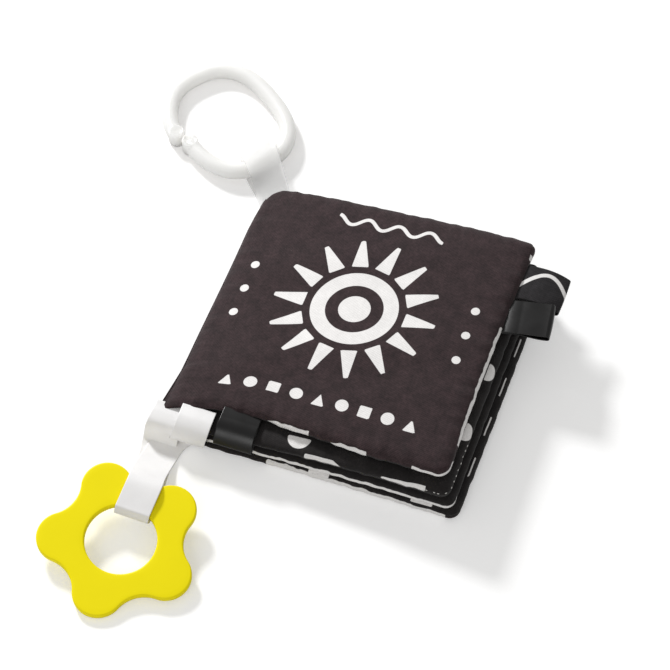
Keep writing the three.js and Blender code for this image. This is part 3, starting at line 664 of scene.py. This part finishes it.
def lining_print(u, v, rim):
    """The front cover's lining: a white border down the open edge and round its near corner, with
    a gap in it, white bars along the near edge, and slanting stripes over the rest."""
    width = 4.5
    border = np.minimum(width - rim, u - BORDER)
    gap = abs(v + 52.5) - 3.6
    short_piece = 1.4 - abs(v - 57)
    border = np.maximum(np.minimum.reduce([border, 16 - v, gap]), np.minimum(border, short_piece))
    bars = [near_bar(u, v, rim, (-22.0, 0.8), (-1.0, width), left=0.35),
            near_bar(u, v, rim, (8.7, 28.8), (-1.0, width), left=0.35),
            np.minimum(near_bar(u, v, rim, (51.4, 70.0), (-1.0, width)), -57.5 - v)]
    inside = np.minimum(52 - abs(u), 50 - abs(v))
    stripes = np.minimum(5.5 - abs(repeated(u + v + 14, 22)), inside)
    return np.maximum.reduce([border, *bars, stripes])


def upper_page_print(u, v, rim):
    """Black, with half discs and bars in its border and rings within rings in its middle."""
    away = np.hypot(u, v + 2)
    target = np.minimum(4 - abs(repeated(away + 4, 16)), 42 - away)
    wedge = near_bar(u, v, rim, (22.0, 56.0), (0.2, 2.9), left=0.085)
    bars = [near_bar(u, v, rim, (-0.6, 16.6), (0.2, 2.4), right=0.4), np.minimum(wedge, u - 35.4)]
    near = np.minimum(disc(u, v, -5.2, -57.6, 5.4), -57.4 - v)
    side = [np.minimum(disc(u, v, 63.4, at, 4.6), u - 63.4) for at in (-33.0, 0.0, 33.0)]
    return np.maximum.reduce([target, *bars, near, *side])


def wide_checks_print(u, v, rim):
    """A chequerboard of large squares on black."""
    return checks(u, v, 40, 60)


def lower_page_print(u, v, rim):
    """Black, with a chequerboard in its middle."""
    return checks(u, v, 26, 45.5)


def dots_print(u, v, rim):
    """White cloth with rows of black dots, plain along the near edge and black at the spine and
    open edges."""
    pitch, radius = 18, 4.6
    dots = np.hypot(repeated(u + 1, pitch), repeated(v + 1, pitch)) - radius
    dots = np.maximum(dots, -BORDER - v)
    corner = np.maximum(62.5 - abs(u), -58.0 - v)
    return np.minimum(dots, corner)


def stripes_print(u, v, rim):
    """The back cover's lining: bold stripes inside a black border with a few white bars."""
    inside = np.minimum(50 - abs(u), 46 - abs(v))
    stripes = np.minimum(6 - abs(repeated(u - 6, 24)), inside)
    near = [near_bar(u, v, rim, (-3.2, 6.4), (-1.0, 7.0)),
            near_bar(u, v, rim, (44.8, 54.8), (2.7, 7.0))]
    side = [block(u, v, 65.2, at, 0.35, 5.2) for at in (27.5, 5.0, -17.3, -39.5)]
    return np.maximum.reduce([stripes, *near, *side])


def back_print(u, v, rim):
    """Unprinted charcoal cloth with a white border along the near edge."""
    return np.minimum.reduce([6.0 - rim, -v - BORDER, u + 23, 61.5 - u])


# Leaves

SEAM_RISE = {0: -0.5, 1: -0.9, 2: -0.6, 3: 0.4}       # above the middle of the side


def seam_line(level, u, v, normal):
    """Height in mm of the seam above the middle of the side, which wanders a little. On the near
    side the lower cloths of the front cover, the lower page and the back cover roll up, and so
    does the front cover's on its open side."""
    wander = ripple(31 + level, u + v, (7.3, 11.1, 17.9)) + 0.4 * ripple(51 + level, u + v, (2.9, 3.7))
    near_rise = {0: 2.3 - 0.012 * (u + LENGTH / 2), 1: 0.75 - 0.5 * smoothstep(u, 30, 62),
                 2: SEAM_RISE[2], 3: 1.5 - 1.1 * smoothstep(u, 42, 63)}[level]
    turn_start, turn_end = (-0.2, 0.2) if level == 1 else (0.3, 0.8)
    near = smoothstep(-normal[1], turn_start, turn_end)
    rise = SEAM_RISE[level]
    open_rise = (1.7 - 1.5 * smoothstep(-v, 42, 54)) * (level == COVER)
    at_open = smoothstep(normal[0], 0.3, 0.8) * open_rise
    return rise + (near_rise - rise) * near + at_open * (1 - near) + 0.28 * wander


def make_leaf(name, level, body, nodes, prints, cottons):
    """A padded leaf: two cloths sewn round the rim, turned and filled. The ink of each cloth ends
    at the seam, where the surface dips 0.3 mm in a groove about 1 mm wide."""
    dip, groove, far_from_seam, most_ink = 0.3, 0.45, 9.0, 3
    u, v, height, normal, faces, cloths = leaf_shape(level)
    size = 2 * RINGS + 1
    inner = np.ones((size, size), bool)
    inner[[0, -1], :] = False
    inner[:, [0, -1]] = False
    number = np.arange(size * size).reshape(size, size)
    below = number.copy()
    below[inner] = size * size + np.arange(inner.sum())

    def both(upper, lower):
        """The upper face's values, then the lower face's without the rim that they share."""
        return np.concatenate([upper.ravel(), lower[inner]])

    points = np.vstack([faces[1].reshape(-1, 3), faces[-1][inner]])
    middle = (leaf_floor(level, faces[1][..., 0]) + leaf_ceiling(level, faces[1][..., 0])) / 2
    ink, crease = {}, {}
    for side in (1, -1):
        over = side * abs(faces[side][..., 2] - middle)
        above = np.where(height < 0.999, over - seam_line(level, u, v, normal), side * far_from_seam)
        tops, bottoms = prints[0](*cloths[side]), prints[1](*cloths[side])
        ink[side] = np.maximum(np.minimum(tops, above), np.minimum(bottoms, -above))
        crease[side] = np.exp(-(above / groove) ** 2)
    inward = both(crease[1], crease[-1]) * dip
    for axis in (0, 1):
        points[:, axis] -= inward * both(normal[axis], normal[axis])
    flat = np.stack([both(cloths[1][axis], cloths[-1][axis]) for axis in (0, 1)], axis=1)
    upper = quads(number)[:, [0, 3, 2, 1]]
    lower = quads(below)[:, [1, 2, 3, 0]]
    piece = put(name, points, np.vstack([upper, lower]), flat,
                {"ink": np.clip(both(ink[1], ink[-1]), -most_ink, most_ink)})
    piece.data.materials.append(cottons[0])
    if cottons[1] is not cottons[0]:
        piece.data.materials.append(cottons[1])
        slots = np.repeat([0, 1], [len(upper), len(lower)])
        piece.data.polygons.foreach_set("material_index", slots.astype(np.int32))
    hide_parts(*nodes)
    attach(piece, body)


make_leaf("back_cover_pad", 0, "back_cover",
          ["back_cover_outer_cloth", "back_cover_wadding", "back_cover_lining"],
          (stripes_print, back_print), (page_cotton, cover_cotton))
make_leaf("lower_page_pad", 1, "lower_page",
          ["lower_page_back_cloth", "lower_page_wadding", "lower_page_front_cloth"],
          (lower_page_print, dots_print), (page_cotton, page_cotton))
make_leaf("upper_page_pad", 2, "upper_page",
          ["upper_page_back_cloth", "upper_page_wadding", "upper_page_front_cloth"],
          (upper_page_print, wide_checks_print), (page_cotton, page_cotton))
make_leaf("front_cover_pad", COVER, "front_cover",
          ["front_cover_lining", "front_cover_wadding", "front_cover_outer_cloth"],
          (cover_print, lining_print), (cover_cotton, page_cotton))


def make_stitches():
    """White thread that shows along the upper page's seam round its free near corner: spindles
    1.1 mm long and 0.5 mm thick, at seeded places about 3.3 mm apart along the ring of points
    0.9 mm from the seam."""
    from_seam, pitch, stray = 0.9, 3.3, 0.7
    before, past = 9.5, 30            # the row's reach to both sides of the corner
    faces, cloths = leaf_shape(2)[4:]
    size = 2 * RINGS + 1
    ring = int(np.argmin(abs(cloths[1][2][size // 2, :EDGE_RINGS] - from_seam)))
    last = size - 1 - ring
    path = np.vstack([faces[1][size // 2:last, ring], faces[1][last, ring:size // 2]])
    corner = run_along(path)[last - size // 2]
    places = np.arange(corner - before, corner + past, pitch)
    places = places + np.random.default_rng(141).uniform(-stray, stray, len(places))
    at, ahead = points_at(path, places), points_at(path, places + 0.5)
    spindle, sides = lathe([(0, -0.55), (0.17, -0.4), (0.25, 0), (0.17, 0.4), (0, 0.55)], 0, 8)
    points, joined = [], []
    for place, forward in zip(at, unit(ahead - at)):
        side = unit(np.cross(forward, [0.0, 0.0, 1.0]))
        basis = np.stack([side, np.cross(forward, side), forward])
        first = len(points) * len(spindle)
        joined += [[first + number for number in face] for face in sides]
        points.append(place + spindle @ basis)
    points = np.vstack(points)
    piece = put("page_seam_stitches", points, joined, points[:, :2])
    piece.data.materials.append(white_thread)
    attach(piece, "upper_page")


make_stitches()


# Ribbons and the spine cloth

SEAM_OUT, PULL_AIR = 0.5, 0.15        # seam to where a ribbon leaves it, more where it is pulled in
WHITE_WIDTH = 16.0                    # the white ribbons of the star and of the link
RIBBON = 0.7                          # room that one run of a white ribbon takes


def cover_seam_z(x):
    """Height of the front cover's seam."""
    return (COVER + 0.5) * thickness(x)


def cover_near_y(x):
    """Where the front cover's near edge lies."""
    along = 2 * (x + STEP * COVER) / LENGTH
    return SHIFT - DEPTH / 2 + DRAW_IN * (1 - along ** 2) + pulled_in(COVER, x)


def near_root(x, width):
    """Where a ribbon of that width leaves the front cover's near seam."""
    edge = min(cover_near_y(x - width / 2), cover_near_y(x + width / 2))
    return np.array([x, edge - SEAM_OUT - PULL_AIR, cover_seam_z(x)])


def open_root(y, width):
    """Where a tag of that width leaves the front cover's open seam."""
    along = 2 * (y + width / 2 - SHIFT) / DEPTH
    x = -STEP * COVER + LENGTH / 2 - DRAW_IN * (1 - along ** 2) + SEAM_OUT
    return np.array([x, y, cover_seam_z(x)])


def band(name, route, across, width, thick, bow=0.0, values=None):
    """A ribbon along a route: a row of places across it at each point, bowed by a parabola, with
    half the thickness over them and half under. A narrow wall joins the two faces all round.
    values are functions of the distance along and across the ribbon. Returns the piece and its
    length."""
    route, across = np.asarray(route, float), np.asarray(across, float)
    flat_edge = width / 2 - 0.35
    share = np.concatenate([[-width / 2], np.linspace(-flat_edge, flat_edge, 15), [width / 2]])
    along = unit(np.gradient(route, axis=0))
    normal = unit(np.cross(along, across))
    middle = route[:, None] + share[None, :, None] * across[:, None]
    middle = middle + (bow * (1 - (2 * share / width) ** 2))[None, :, None] * normal[:, None]
    upper, lower = middle + normal[:, None] * thick / 2, middle - normal[:, None] * thick / 2
    run = run_along(route)
    flat = np.stack(np.broadcast_arrays(run[:, None], share[None, :]), axis=-1).reshape(-1, 2)
    rows, columns = len(route), len(share)
    index = np.arange(rows * columns).reshape(rows, columns)
    rim = np.concatenate([index[0, :-1], index[:-1, -1], index[-1, :0:-1], index[:0:-1, 0]])
    after = np.roll(rim, -1)
    under = rows * columns
    walls = np.stack([rim, after, after + under, rim + under], axis=1)
    faces = np.vstack([quads(index)[:, ::-1], quads(index) + under, walls])
    more = {key: np.tile(value(*flat.T), 2) for key, value in (values or {}).items()}
    piece = put(name, np.vstack([upper.reshape(-1, 3), lower.reshape(-1, 3)]), faces,
                np.tile(flat, (2, 1)), more)
    return piece, run[-1]


def tag_route(root, out, reach, drop, arch):
    """A tag's loop: out along the upper run, round the fold and back along the lower one. Its
    middle bends down as the power 3.4 of the way along and first rises by the cubic
    arch s (1 - s) (1 - s). The runs lie close at the seam and part by a sine towards the fold."""
    bend, thick, opening = 3.4, 0.7, 2.2
    sewn_in, closest, round_fold = 2.4, 0.42, 0.8
    out = np.asarray(out, float)
    wide = np.array([-out[1], out[0], 0.0])
    share = np.linspace(0, 1, 30)[:, None]
    rise = arch * share * (1 - share) ** 2 - drop * share ** bend
    slope = arch * (1 - share) * (1 - 3 * share) - bend * drop * share ** (bend - 1)
    along = unit(out * reach + [0, 0, 1] * slope)
    above = -np.cross(wide, along)
    middle = root + out * reach * share + [0, 0, 1] * rise
    radius = (opening + thick) / 2
    half = np.maximum(radius * np.sin(math.pi * share / 2) ** 1.5, closest)
    angle = np.radians(np.arange(12, 180, 12))[:, None]
    fold = middle[-1] + radius * (above[-1] * np.cos(angle) + along[-1] * np.sin(angle) * round_fold)
    start = root - along[0] * sewn_in
    upper = np.vstack([start + above[0] * closest, middle + above * half])
    lower = np.vstack([start - above[0] * closest, middle - above * half])
    return curve(np.vstack([upper, fold, lower[::-1]]), 110), wide


def make_tag(name, node, cloth, root, out, reach, drop, arch, width, bow, values=None):
    """A loop of ribbon sewn into the cover's seam."""
    route, wide = tag_route(root, out, reach, drop, arch)
    piece, length = band(name, route, np.tile(wide, (len(route), 1)), width, 0.45, bow, values)
    piece.data.materials.append(cloth)
    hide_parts(node)
    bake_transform(piece)
    return piece


def wave_ink(run, across):
    """A white wave 2 mm wide along the tape, one swing in 43 mm."""
    half_line, half_wave, swing, start, aside = 1.0, 21.5, 7.3, 2.4, 1.0
    turn = math.pi * (run - start) / half_wave
    slope = swing * math.pi / half_wave * np.cos(turn)
    return half_line - abs(across + aside - swing * np.sin(turn)) / np.sqrt(1 + slope ** 2)


SATIN_TURN = math.radians(8)
make_tag("side_tag_wave_tape", "side_tag_wave", woven_tape,
         open_root(49.0, 19.0), (1, 0, 0), 18.2, 3.2, 5.0, 19.0, 0.25, {"ink": wave_ink})
make_tag("side_tag_satin_ribbon", "side_tag_satin", black_satin,
         open_root(28.7, 18.0), (math.cos(SATIN_TURN), math.sin(SATIN_TURN), 0), 18.6, -0.8, 4.5,
         18.0, 0.35)
make_tag("front_tag_ribbon", "front_tag", black_satin,
         near_root(-37.8, 18.0), (0, -1, 0), 12.4, 6.9, 0.0, 18.0, 0.0)


# Star teether

LOBE_CENTRE, LOBE_RADIUS, VALLEY, HOLE = 25.8, 11.5, 27.6, 16.0
STAR_THICK, STAR_EDGE = 3.5, 1.0      # its thickness and the rounding of its edges
LOBE_TURN = math.radians(33)          # from the star's own x axis to its first lobe
LEAN, HEADING = math.radians(10), math.radians(19.4)
RIBBON_X = -57.8                      # where the star's ribbon leaves the cover's seam
RIBBON_SPAN, RIBBON_DRIFT = 42.4, 9.5 # from there to the star's dip, and its drift to the spine
star_right = np.array([math.cos(HEADING), math.sin(HEADING), 0.0])
star_up = np.array([-math.sin(HEADING) * math.cos(LEAN), math.cos(HEADING) * math.cos(LEAN),
                    math.sin(LEAN)])
star_normal = np.cross(star_right, star_up)
dip_turn = LOBE_TURN + math.pi / 5
toward_dip = star_right * math.cos(dip_turn) + star_up * math.sin(dip_turn)


def star_centre():
    """Where the star lies: its dip at the end of the ribbon's way, and its lowest lobe 0.1 mm
    above the floor. To a ten-thousandth of a mm."""
    lobes = LOBE_TURN + TAU / 5 * np.arange(5)
    lowest = LOBE_RADIUS - LOBE_CENTRE * np.sin(lobes).min()
    centre = near_root(RIBBON_X, WHITE_WIDTH) - [RIBBON_DRIFT, RIBBON_SPAN, 0] - toward_dip * VALLEY
    centre[2] = lowest * math.sin(LEAN) + STAR_THICK / 2 * math.cos(LEAN) + 0.1
    return np.round(centre, 4)


STAR_AT = star_centre()


def star_radius(turn):
    """Distance from the centre to the outline: lobe circles joined by hollow circles that touch
    them and the valley."""
    half = math.pi / 5
    base = VALLEY - LOBE_CENTRE * math.cos(half)
    aside = LOBE_CENTRE * math.sin(half)
    hollow = (base ** 2 + aside ** 2 - LOBE_RADIUS ** 2) / (2 * (LOBE_RADIUS - base))
    centre = VALLEY + hollow
    touch = math.atan2(centre * math.sin(half), centre * math.cos(half) - LOBE_CENTRE)
    meet = math.atan2(LOBE_RADIUS * math.sin(touch), LOBE_CENTRE + LOBE_RADIUS * math.cos(touch))
    off = abs((turn - LOBE_TURN + half) % (2 * half) - half)
    lobe = LOBE_CENTRE * np.cos(off) + np.sqrt(
        np.maximum(LOBE_RADIUS ** 2 - (LOBE_CENTRE * np.sin(off)) ** 2, 0))
    valley = centre * np.cos(half - off) - np.sqrt(
        np.maximum(hollow ** 2 - (centre * np.sin(half - off)) ** 2, 0))
    return np.where(off < meet, lobe, valley)


def make_star():
    """A flat band between the hole and the outline, with quarter-round edges: at each of 480
    angles a section runs over the top, round the rim, under and up through the hole."""
    turn = np.linspace(0, TAU, 480, endpoint=False)
    quarter = np.radians(np.linspace(0, 90, 7))
    flats = np.linspace(0, 1, 8)[1:-1]
    # Each point of the section: its share from the hole to the rim, its shift along that way and
    # its height, both in roundings
    outer = [(1, -1 + np.cos(a), np.sin(a)) for a in quarter[::-1]]
    rim = outer + [(side, shift, -rise) for side, shift, rise in outer[-2::-1]]
    hole = [(0, -shift, rise) for _, shift, rise in rim[::-1]]
    top = [(share, 0, 1) for share in flats]
    under = [(share, 0, -1) for share in flats[::-1]]
    loop = np.array(top + rim + under + hole)
    share, shift, rise = loop.T
    low, high = HOLE + STAR_EDGE, star_radius(turn) - STAR_EDGE
    move = np.where(share == 1, (shift + 1) * STAR_EDGE, 0)
    move = np.where(share == 0, (shift - 1) * STAR_EDGE, move)
    radius = low + share[None] * (high[:, None] - low) + move[None]
    z = (STAR_THICK / 2 - STAR_EDGE) * np.sign(rise) + STAR_EDGE * rise
    local = (radius * np.cos(turn)[:, None], radius * np.sin(turn)[:, None], z[None])
    points = STAR_AT + sum(part[..., None] * axis for part, axis in
                           zip(np.broadcast_arrays(*local), (star_right, star_up, star_normal)))
    faces = grid_faces(len(turn), len(loop), around=True, closed=True)
    piece = put("star", points.reshape(-1, 3), faces)
    piece.data.materials.append(star_rubber)
    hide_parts("star_teether")
    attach(piece, "star_teether")


make_star()


# Teether ribbon

def teether_route():
    """From the cover's near seam over a soft curl down to a crease above the floor, forward and
    up over the star's band, down through the hole and back under it along the floor, and up to
    the seam again nearer the corner."""
    root = near_root(RIBBON_X, WHITE_WIDTH)
    rest, doubled = 0.6, 0.9              # the lower run's height and the crease's above the floor
    # From the root: across, towards the front, and height above the floor
    curl = np.array([
        (0, 0, 16.0), (0.2, -5.0, 16.3), (0, -9.4, 14.6), (-0.6, -12.0, 11.0), (-1.3, -12.3, 7.6),
        (-3.2, -10.6, 4.6), (-5.8, -8.7, 2.9), (-8.2, -9.5, rest + doubled + 0.3),
        (-10.6, -13.0, rest + doubled), (-11.8, -19.3, rest + doubled)]) + [root[0], root[1], 0]
    lift = STAR_THICK / 2 + 0.3 + RIBBON / 2 + 0.25
    edge = math.sqrt(HOLE ** 2 - (WHITE_WIDTH / 2) ** 2) - 0.3
    over_dip = STAR_AT + toward_dip * (VALLEY + 1) + star_normal * lift
    over_edge = STAR_AT + toward_dip * edge + star_normal * (lift + 0.2)
    bight = STAR_AT + toward_dip * (edge - 1.95) - star_normal * 0.4
    under_edge = STAR_AT + toward_dip * edge - star_normal * (lift + 1)
    under_dip = STAR_AT + toward_dip * VALLEY
    under_dip[2] = rest + 2.4
    start = curl[-1]
    ramp = []
    for share in (0.3, 0.65):
        point = start + (over_dip - start) * share
        point[0] -= 1.2 * math.sin(math.pi * share)
        point[2] = start[2] + (over_dip[2] - start[2]) * share ** 1.5
        ramp.append(point)
    back = [[start[0] + (under_dip[0] - start[0]) * share - 1.7,
             start[1] + (under_dip[1] - start[1]) * share, rest] for share in (0.6, 0.3, 0.0)]
    climb = [(-72.0, -73.4, rest), (-72.2, -70.6, 1.8), (-72.0, -69.5, 5.0), (-71.6, -68.9, 8.6),
             (-71.0, -67.2, 11.6), (-70.6, -62.6, 12.8), (-70.4, -59.0, 12.6), (-70.4, -56.4, 12.6)]
    upper = curve([root + [0, 1.6, 0], *curl, *ramp, over_dip, over_edge], 130)
    bend = curve([over_edge, bight, under_edge], 14)[1:-1]
    lower = curve([under_edge, under_dip, *back, *climb], 110)
    return root, curve(np.vstack([upper, bend, lower]), 280)


def make_teether_ribbon():
    """The star's ribbon: level across its width, and in the star's plane where it holds the
    star, in the middle of its length."""
    root, route = teether_route()
    share = np.linspace(0, 1, len(route))
    held = smoothstep(share, 0.2, 0.4) * (1 - smoothstep(share, 0.6, 0.8))
    across = unit(np.stack([np.ones_like(held), 0 * held,
                            -held * star_normal[0] / star_normal[2]], axis=1))
    piece, length = band("teether_ribbon_satin", route, across, WHITE_WIDTH, 0.45)
    piece.data.materials.append(white_satin)
    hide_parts("teether_ribbon")
    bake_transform(piece)


make_teether_ribbon()


# Link and its ribbon

ROD, ROD_LIFT = 8.0, 1.3              # the rod, and how far one end of the link is tipped up
HALF_LONG, HALF_WIDE = 31.5, 23.7     # the oval to the middle of its rod
LINK_TURN, LINK_TIP = math.radians(-37.8), math.asin(ROD_LIFT / (2 * HALF_LONG))
RIBBON_TURN = 121                     # degrees of the link ribbon's run from +X
LINK_REACH = 29.8                     # back cover's seam to the rod, along the ribbon
LINK_ROOT_X = -LENGTH / 2 + 2.5
LINK_ROOT = np.array([LINK_ROOT_X, DEPTH / 2 + SEAM_OUT, float(0.5 * thickness(LINK_ROOT_X))])
run_out = np.array([math.cos(math.radians(RIBBON_TURN)), math.sin(math.radians(RIBBON_TURN)), 0.0])
run_side = np.array([run_out[1], -run_out[0], 0.0])


def turned(x, y, angle):
    """Both coordinates of flat places turned about the origin."""
    return x * math.cos(angle) - y * math.sin(angle), x * math.sin(angle) + y * math.cos(angle)


def link_centre():
    """Where the link lies: the ribbon holds it at its end, 0.2 mm in and 1.6 mm round, and its
    rod lies 0.1 mm above the floor. To a ten-thousandth of a mm."""
    centre = LINK_ROOT + run_out * LINK_REACH - [*turned(HALF_LONG - 0.2, 1.6, LINK_TURN), 0]
    centre[2] = (ROD + ROD_LIFT) / 2 + 0.1
    return np.round(centre, 4)


LINK_AT = link_centre()


def link_place(points):
    """Link points from their own frame to the book's: tipped about their y axis, turned about z."""
    x, y, z = np.asarray(points, float).T
    x, z = turned(x, z, LINK_TIP)
    x, y = turned(x, y, LINK_TURN)
    return LINK_AT + np.stack([x, y, z], axis=1)


def link_rod():
    """Points and faces of the round rod, swept round a superellipse of power 2.5 with one end
    set outside the other, and the middles of its two ends."""
    power, near_x, far_x, set_out = 2 / 2.5, 2.5, -5.7, 2.7

    def angle_at(x):
        """The angle in the superellipse's formula at the place x on its upper half."""
        return math.acos(math.copysign((abs(x) / HALF_LONG) ** (1 / power), x))

    angle = np.linspace(-angle_at(near_x), TAU - angle_at(far_x), 400)
    c, s = np.cos(angle), np.sin(angle)
    route = np.stack([HALF_LONG * np.sign(c) * abs(c) ** power,
                      HALF_WIDE * np.sign(s) * abs(s) ** power, 0 * c], axis=1)
    route[:, 1] -= set_out * smoothstep(np.linspace(0, 1, len(route)), 0.86, 1)
    near, far = route[0].copy(), route[-1].copy()
    route = curve(route[::4], 220)
    along = unit(np.gradient(route, axis=0))
    side = np.stack([along[:, 1], -along[:, 0], 0 * along[:, 0]], axis=1)
    turn = np.linspace(0, TAU, 40, endpoint=False)
    tube = (route[:, None] + ROD / 2 * (np.cos(turn)[None, :, None] * side[:, None]
                                        + np.sin(turn)[None, :, None] * [0.0, 0.0, 1.0]))
    points = np.vstack([tube.reshape(-1, 3), near, far])
    return points, tube_faces(len(route), len(turn)), near, far


def make_link():
    """The rod, an upright stub on each of its ends and a ball catch between them. The parts are
    merged on a 0.4 mm grid and smoothed, which leaves small fillets where they meet."""
    points, faces, near, far = link_rod()
    # The stub's upper end is a little hollow, with a rounded lip
    stub = [(0, -4.2), (3.3, -4.2), (3.9, -3.8), (3.9, 3.75), (3.7, 4.1), (3.3, 4.2), (2.9, 4.0),
            (2.7, 3.6), (0, 3.5)]
    stub_radius, ball_radius = 3.9, 1.3
    between = near - far
    apart = np.linalg.norm(between)
    catch = far + between * (stub_radius + (apart - 2 * stub_radius) / 3) / apart
    ball = [(ball_radius * math.sin(t), -ball_radius * math.cos(t)) for t in np.linspace(0, math.pi, 10)]
    for profile, at in ((stub, near), (stub, far), (ball, catch)):
        more, sides = lathe(profile, at)
        faces += [[number + len(points) for number in face] for face in sides]
        points = np.vstack([points, more])
    piece = put("clip_link", link_place(points), faces)
    merge = piece.modifiers.new("merge", "REMESH")
    merge.mode, merge.voxel_size = "VOXEL", 0.4 * MM
    ease = piece.modifiers.new("ease", "SMOOTH")
    ease.factor, ease.iterations = 0.5, 4
    apply_modifiers(piece)
    piece.data.materials.clear()
    piece.data.materials.append(link_plastic)
    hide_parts("link")
    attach(piece, "link")


make_link()


def make_link_ribbon():
    """A loop from the back cover's far seam, along the floor, round the rod and back over the
    first run. Its ends are cut along the seam and its bight follows the rod. Both runs drift
    aside by the power 1.5 of the way to the rod."""
    gap, air, drift, swing_room = 0.3, 0.15, 2.8, 0.9
    rod_way = 66                      # degrees from +X, as the rod runs under the ribbon
    wrap_slant = math.tan(math.radians(rod_way - (RIBBON_TURN - 90)))
    root_slant = -run_side[1] / run_out[1]

    def at(run, height):
        """The point that far along the ribbon's way, at that height."""
        aside = drift * max(run / LINK_REACH, 0) ** 1.5
        return np.array([*(LINK_ROOT + run_out * run - run_side * aside)[:2], height])

    rest, z = RIBBON / 2 + air, LINK_ROOT[2]
    over = ROD_LIFT + ROD + gap + RIBBON / 2 + swing_room
    bight = (LINK_REACH + (ROD / 2 + gap + RIBBON / 2) * math.hypot(1, wrap_slant) + drift
             + swing_room)
    places = [
        (-1.6, z - 0.3), (0, z - 0.5), (5, rest + 0.1), (LINK_REACH / 2, rest), (LINK_REACH, rest),
        (bight - 1.8, rest + 0.7), (bight, over * 0.4), (bight, over * 0.62),
        (bight - 1.8, over - 0.7), (LINK_REACH + 1, over + 0.2), (0.83 * LINK_REACH, over - 0.7),
        (LINK_REACH / 2, over * 0.55), (7, z + 1.6), (0, z + 0.5), (-1.6, z + 0.3)]
    route = curve([at(*place) for place in places], 200)
    share = np.linspace(0, 1, len(route))
    held = smoothstep(1 - abs(2 * share - 1), 0.1, 0.75)[:, None]
    across = run_side + run_out * (root_slant + (wrap_slant - root_slant) * held)
    piece, length = band("link_ribbon_satin", route, across, WHITE_WIDTH, 0.4)
    piece.data.materials.append(sheer_satin)
    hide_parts("link_ribbon")
    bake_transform(piece)


make_link_ribbon()


def make_spine():
    """The spine cloth: a strip that leans with the leaves' steps and bellies out by a sine between
    its two ends. Its upper part follows the front cover's spine edge."""
    bottom, over_seam, belly = 0.5, 0.6, 1.8
    bottom_out, top_in = 0.8, 0.3         # its ends, outside and inside the leaves' edges
    width = DEPTH - 2 * SPINE_CORNER
    share = np.linspace(0, 1, 41)
    top = cover_seam_z(COVER_EDGE)
    x = (-LENGTH / 2 - STEP * COVER * share ** 0.8 - bottom_out * (1 - share ** 5)
         + top_in * share ** 5 - belly * np.sin(math.pi * share))
    z = bottom + (top + over_seam - bottom) * share
    route = np.stack([x, SHIFT * share, z], axis=1)
    across = np.tile([0.0, 1.0, 0.0], (len(route), 1))

    def no_ink(run, place):
        """Well outside any white shape."""
        return -3 + 0 * run

    piece, length = band("spine_wrap", route, across, width, 0.6, 0.0, {"ink": no_ink})
    points = np.empty(len(piece.data.vertices) * 3)
    piece.data.vertices.foreach_get("co", points)
    points = points.reshape(-1, 3)
    points[:, 0] += spine_lean(points[:, 1] / MM - SHIFT) * np.clip(points[:, 2] / top, 0, MM)
    piece.data.vertices.foreach_set("co", points.ravel())
    piece.data.materials.append(cover_cotton)
    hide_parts("spine_cloth")
    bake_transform(piece)


make_spine()
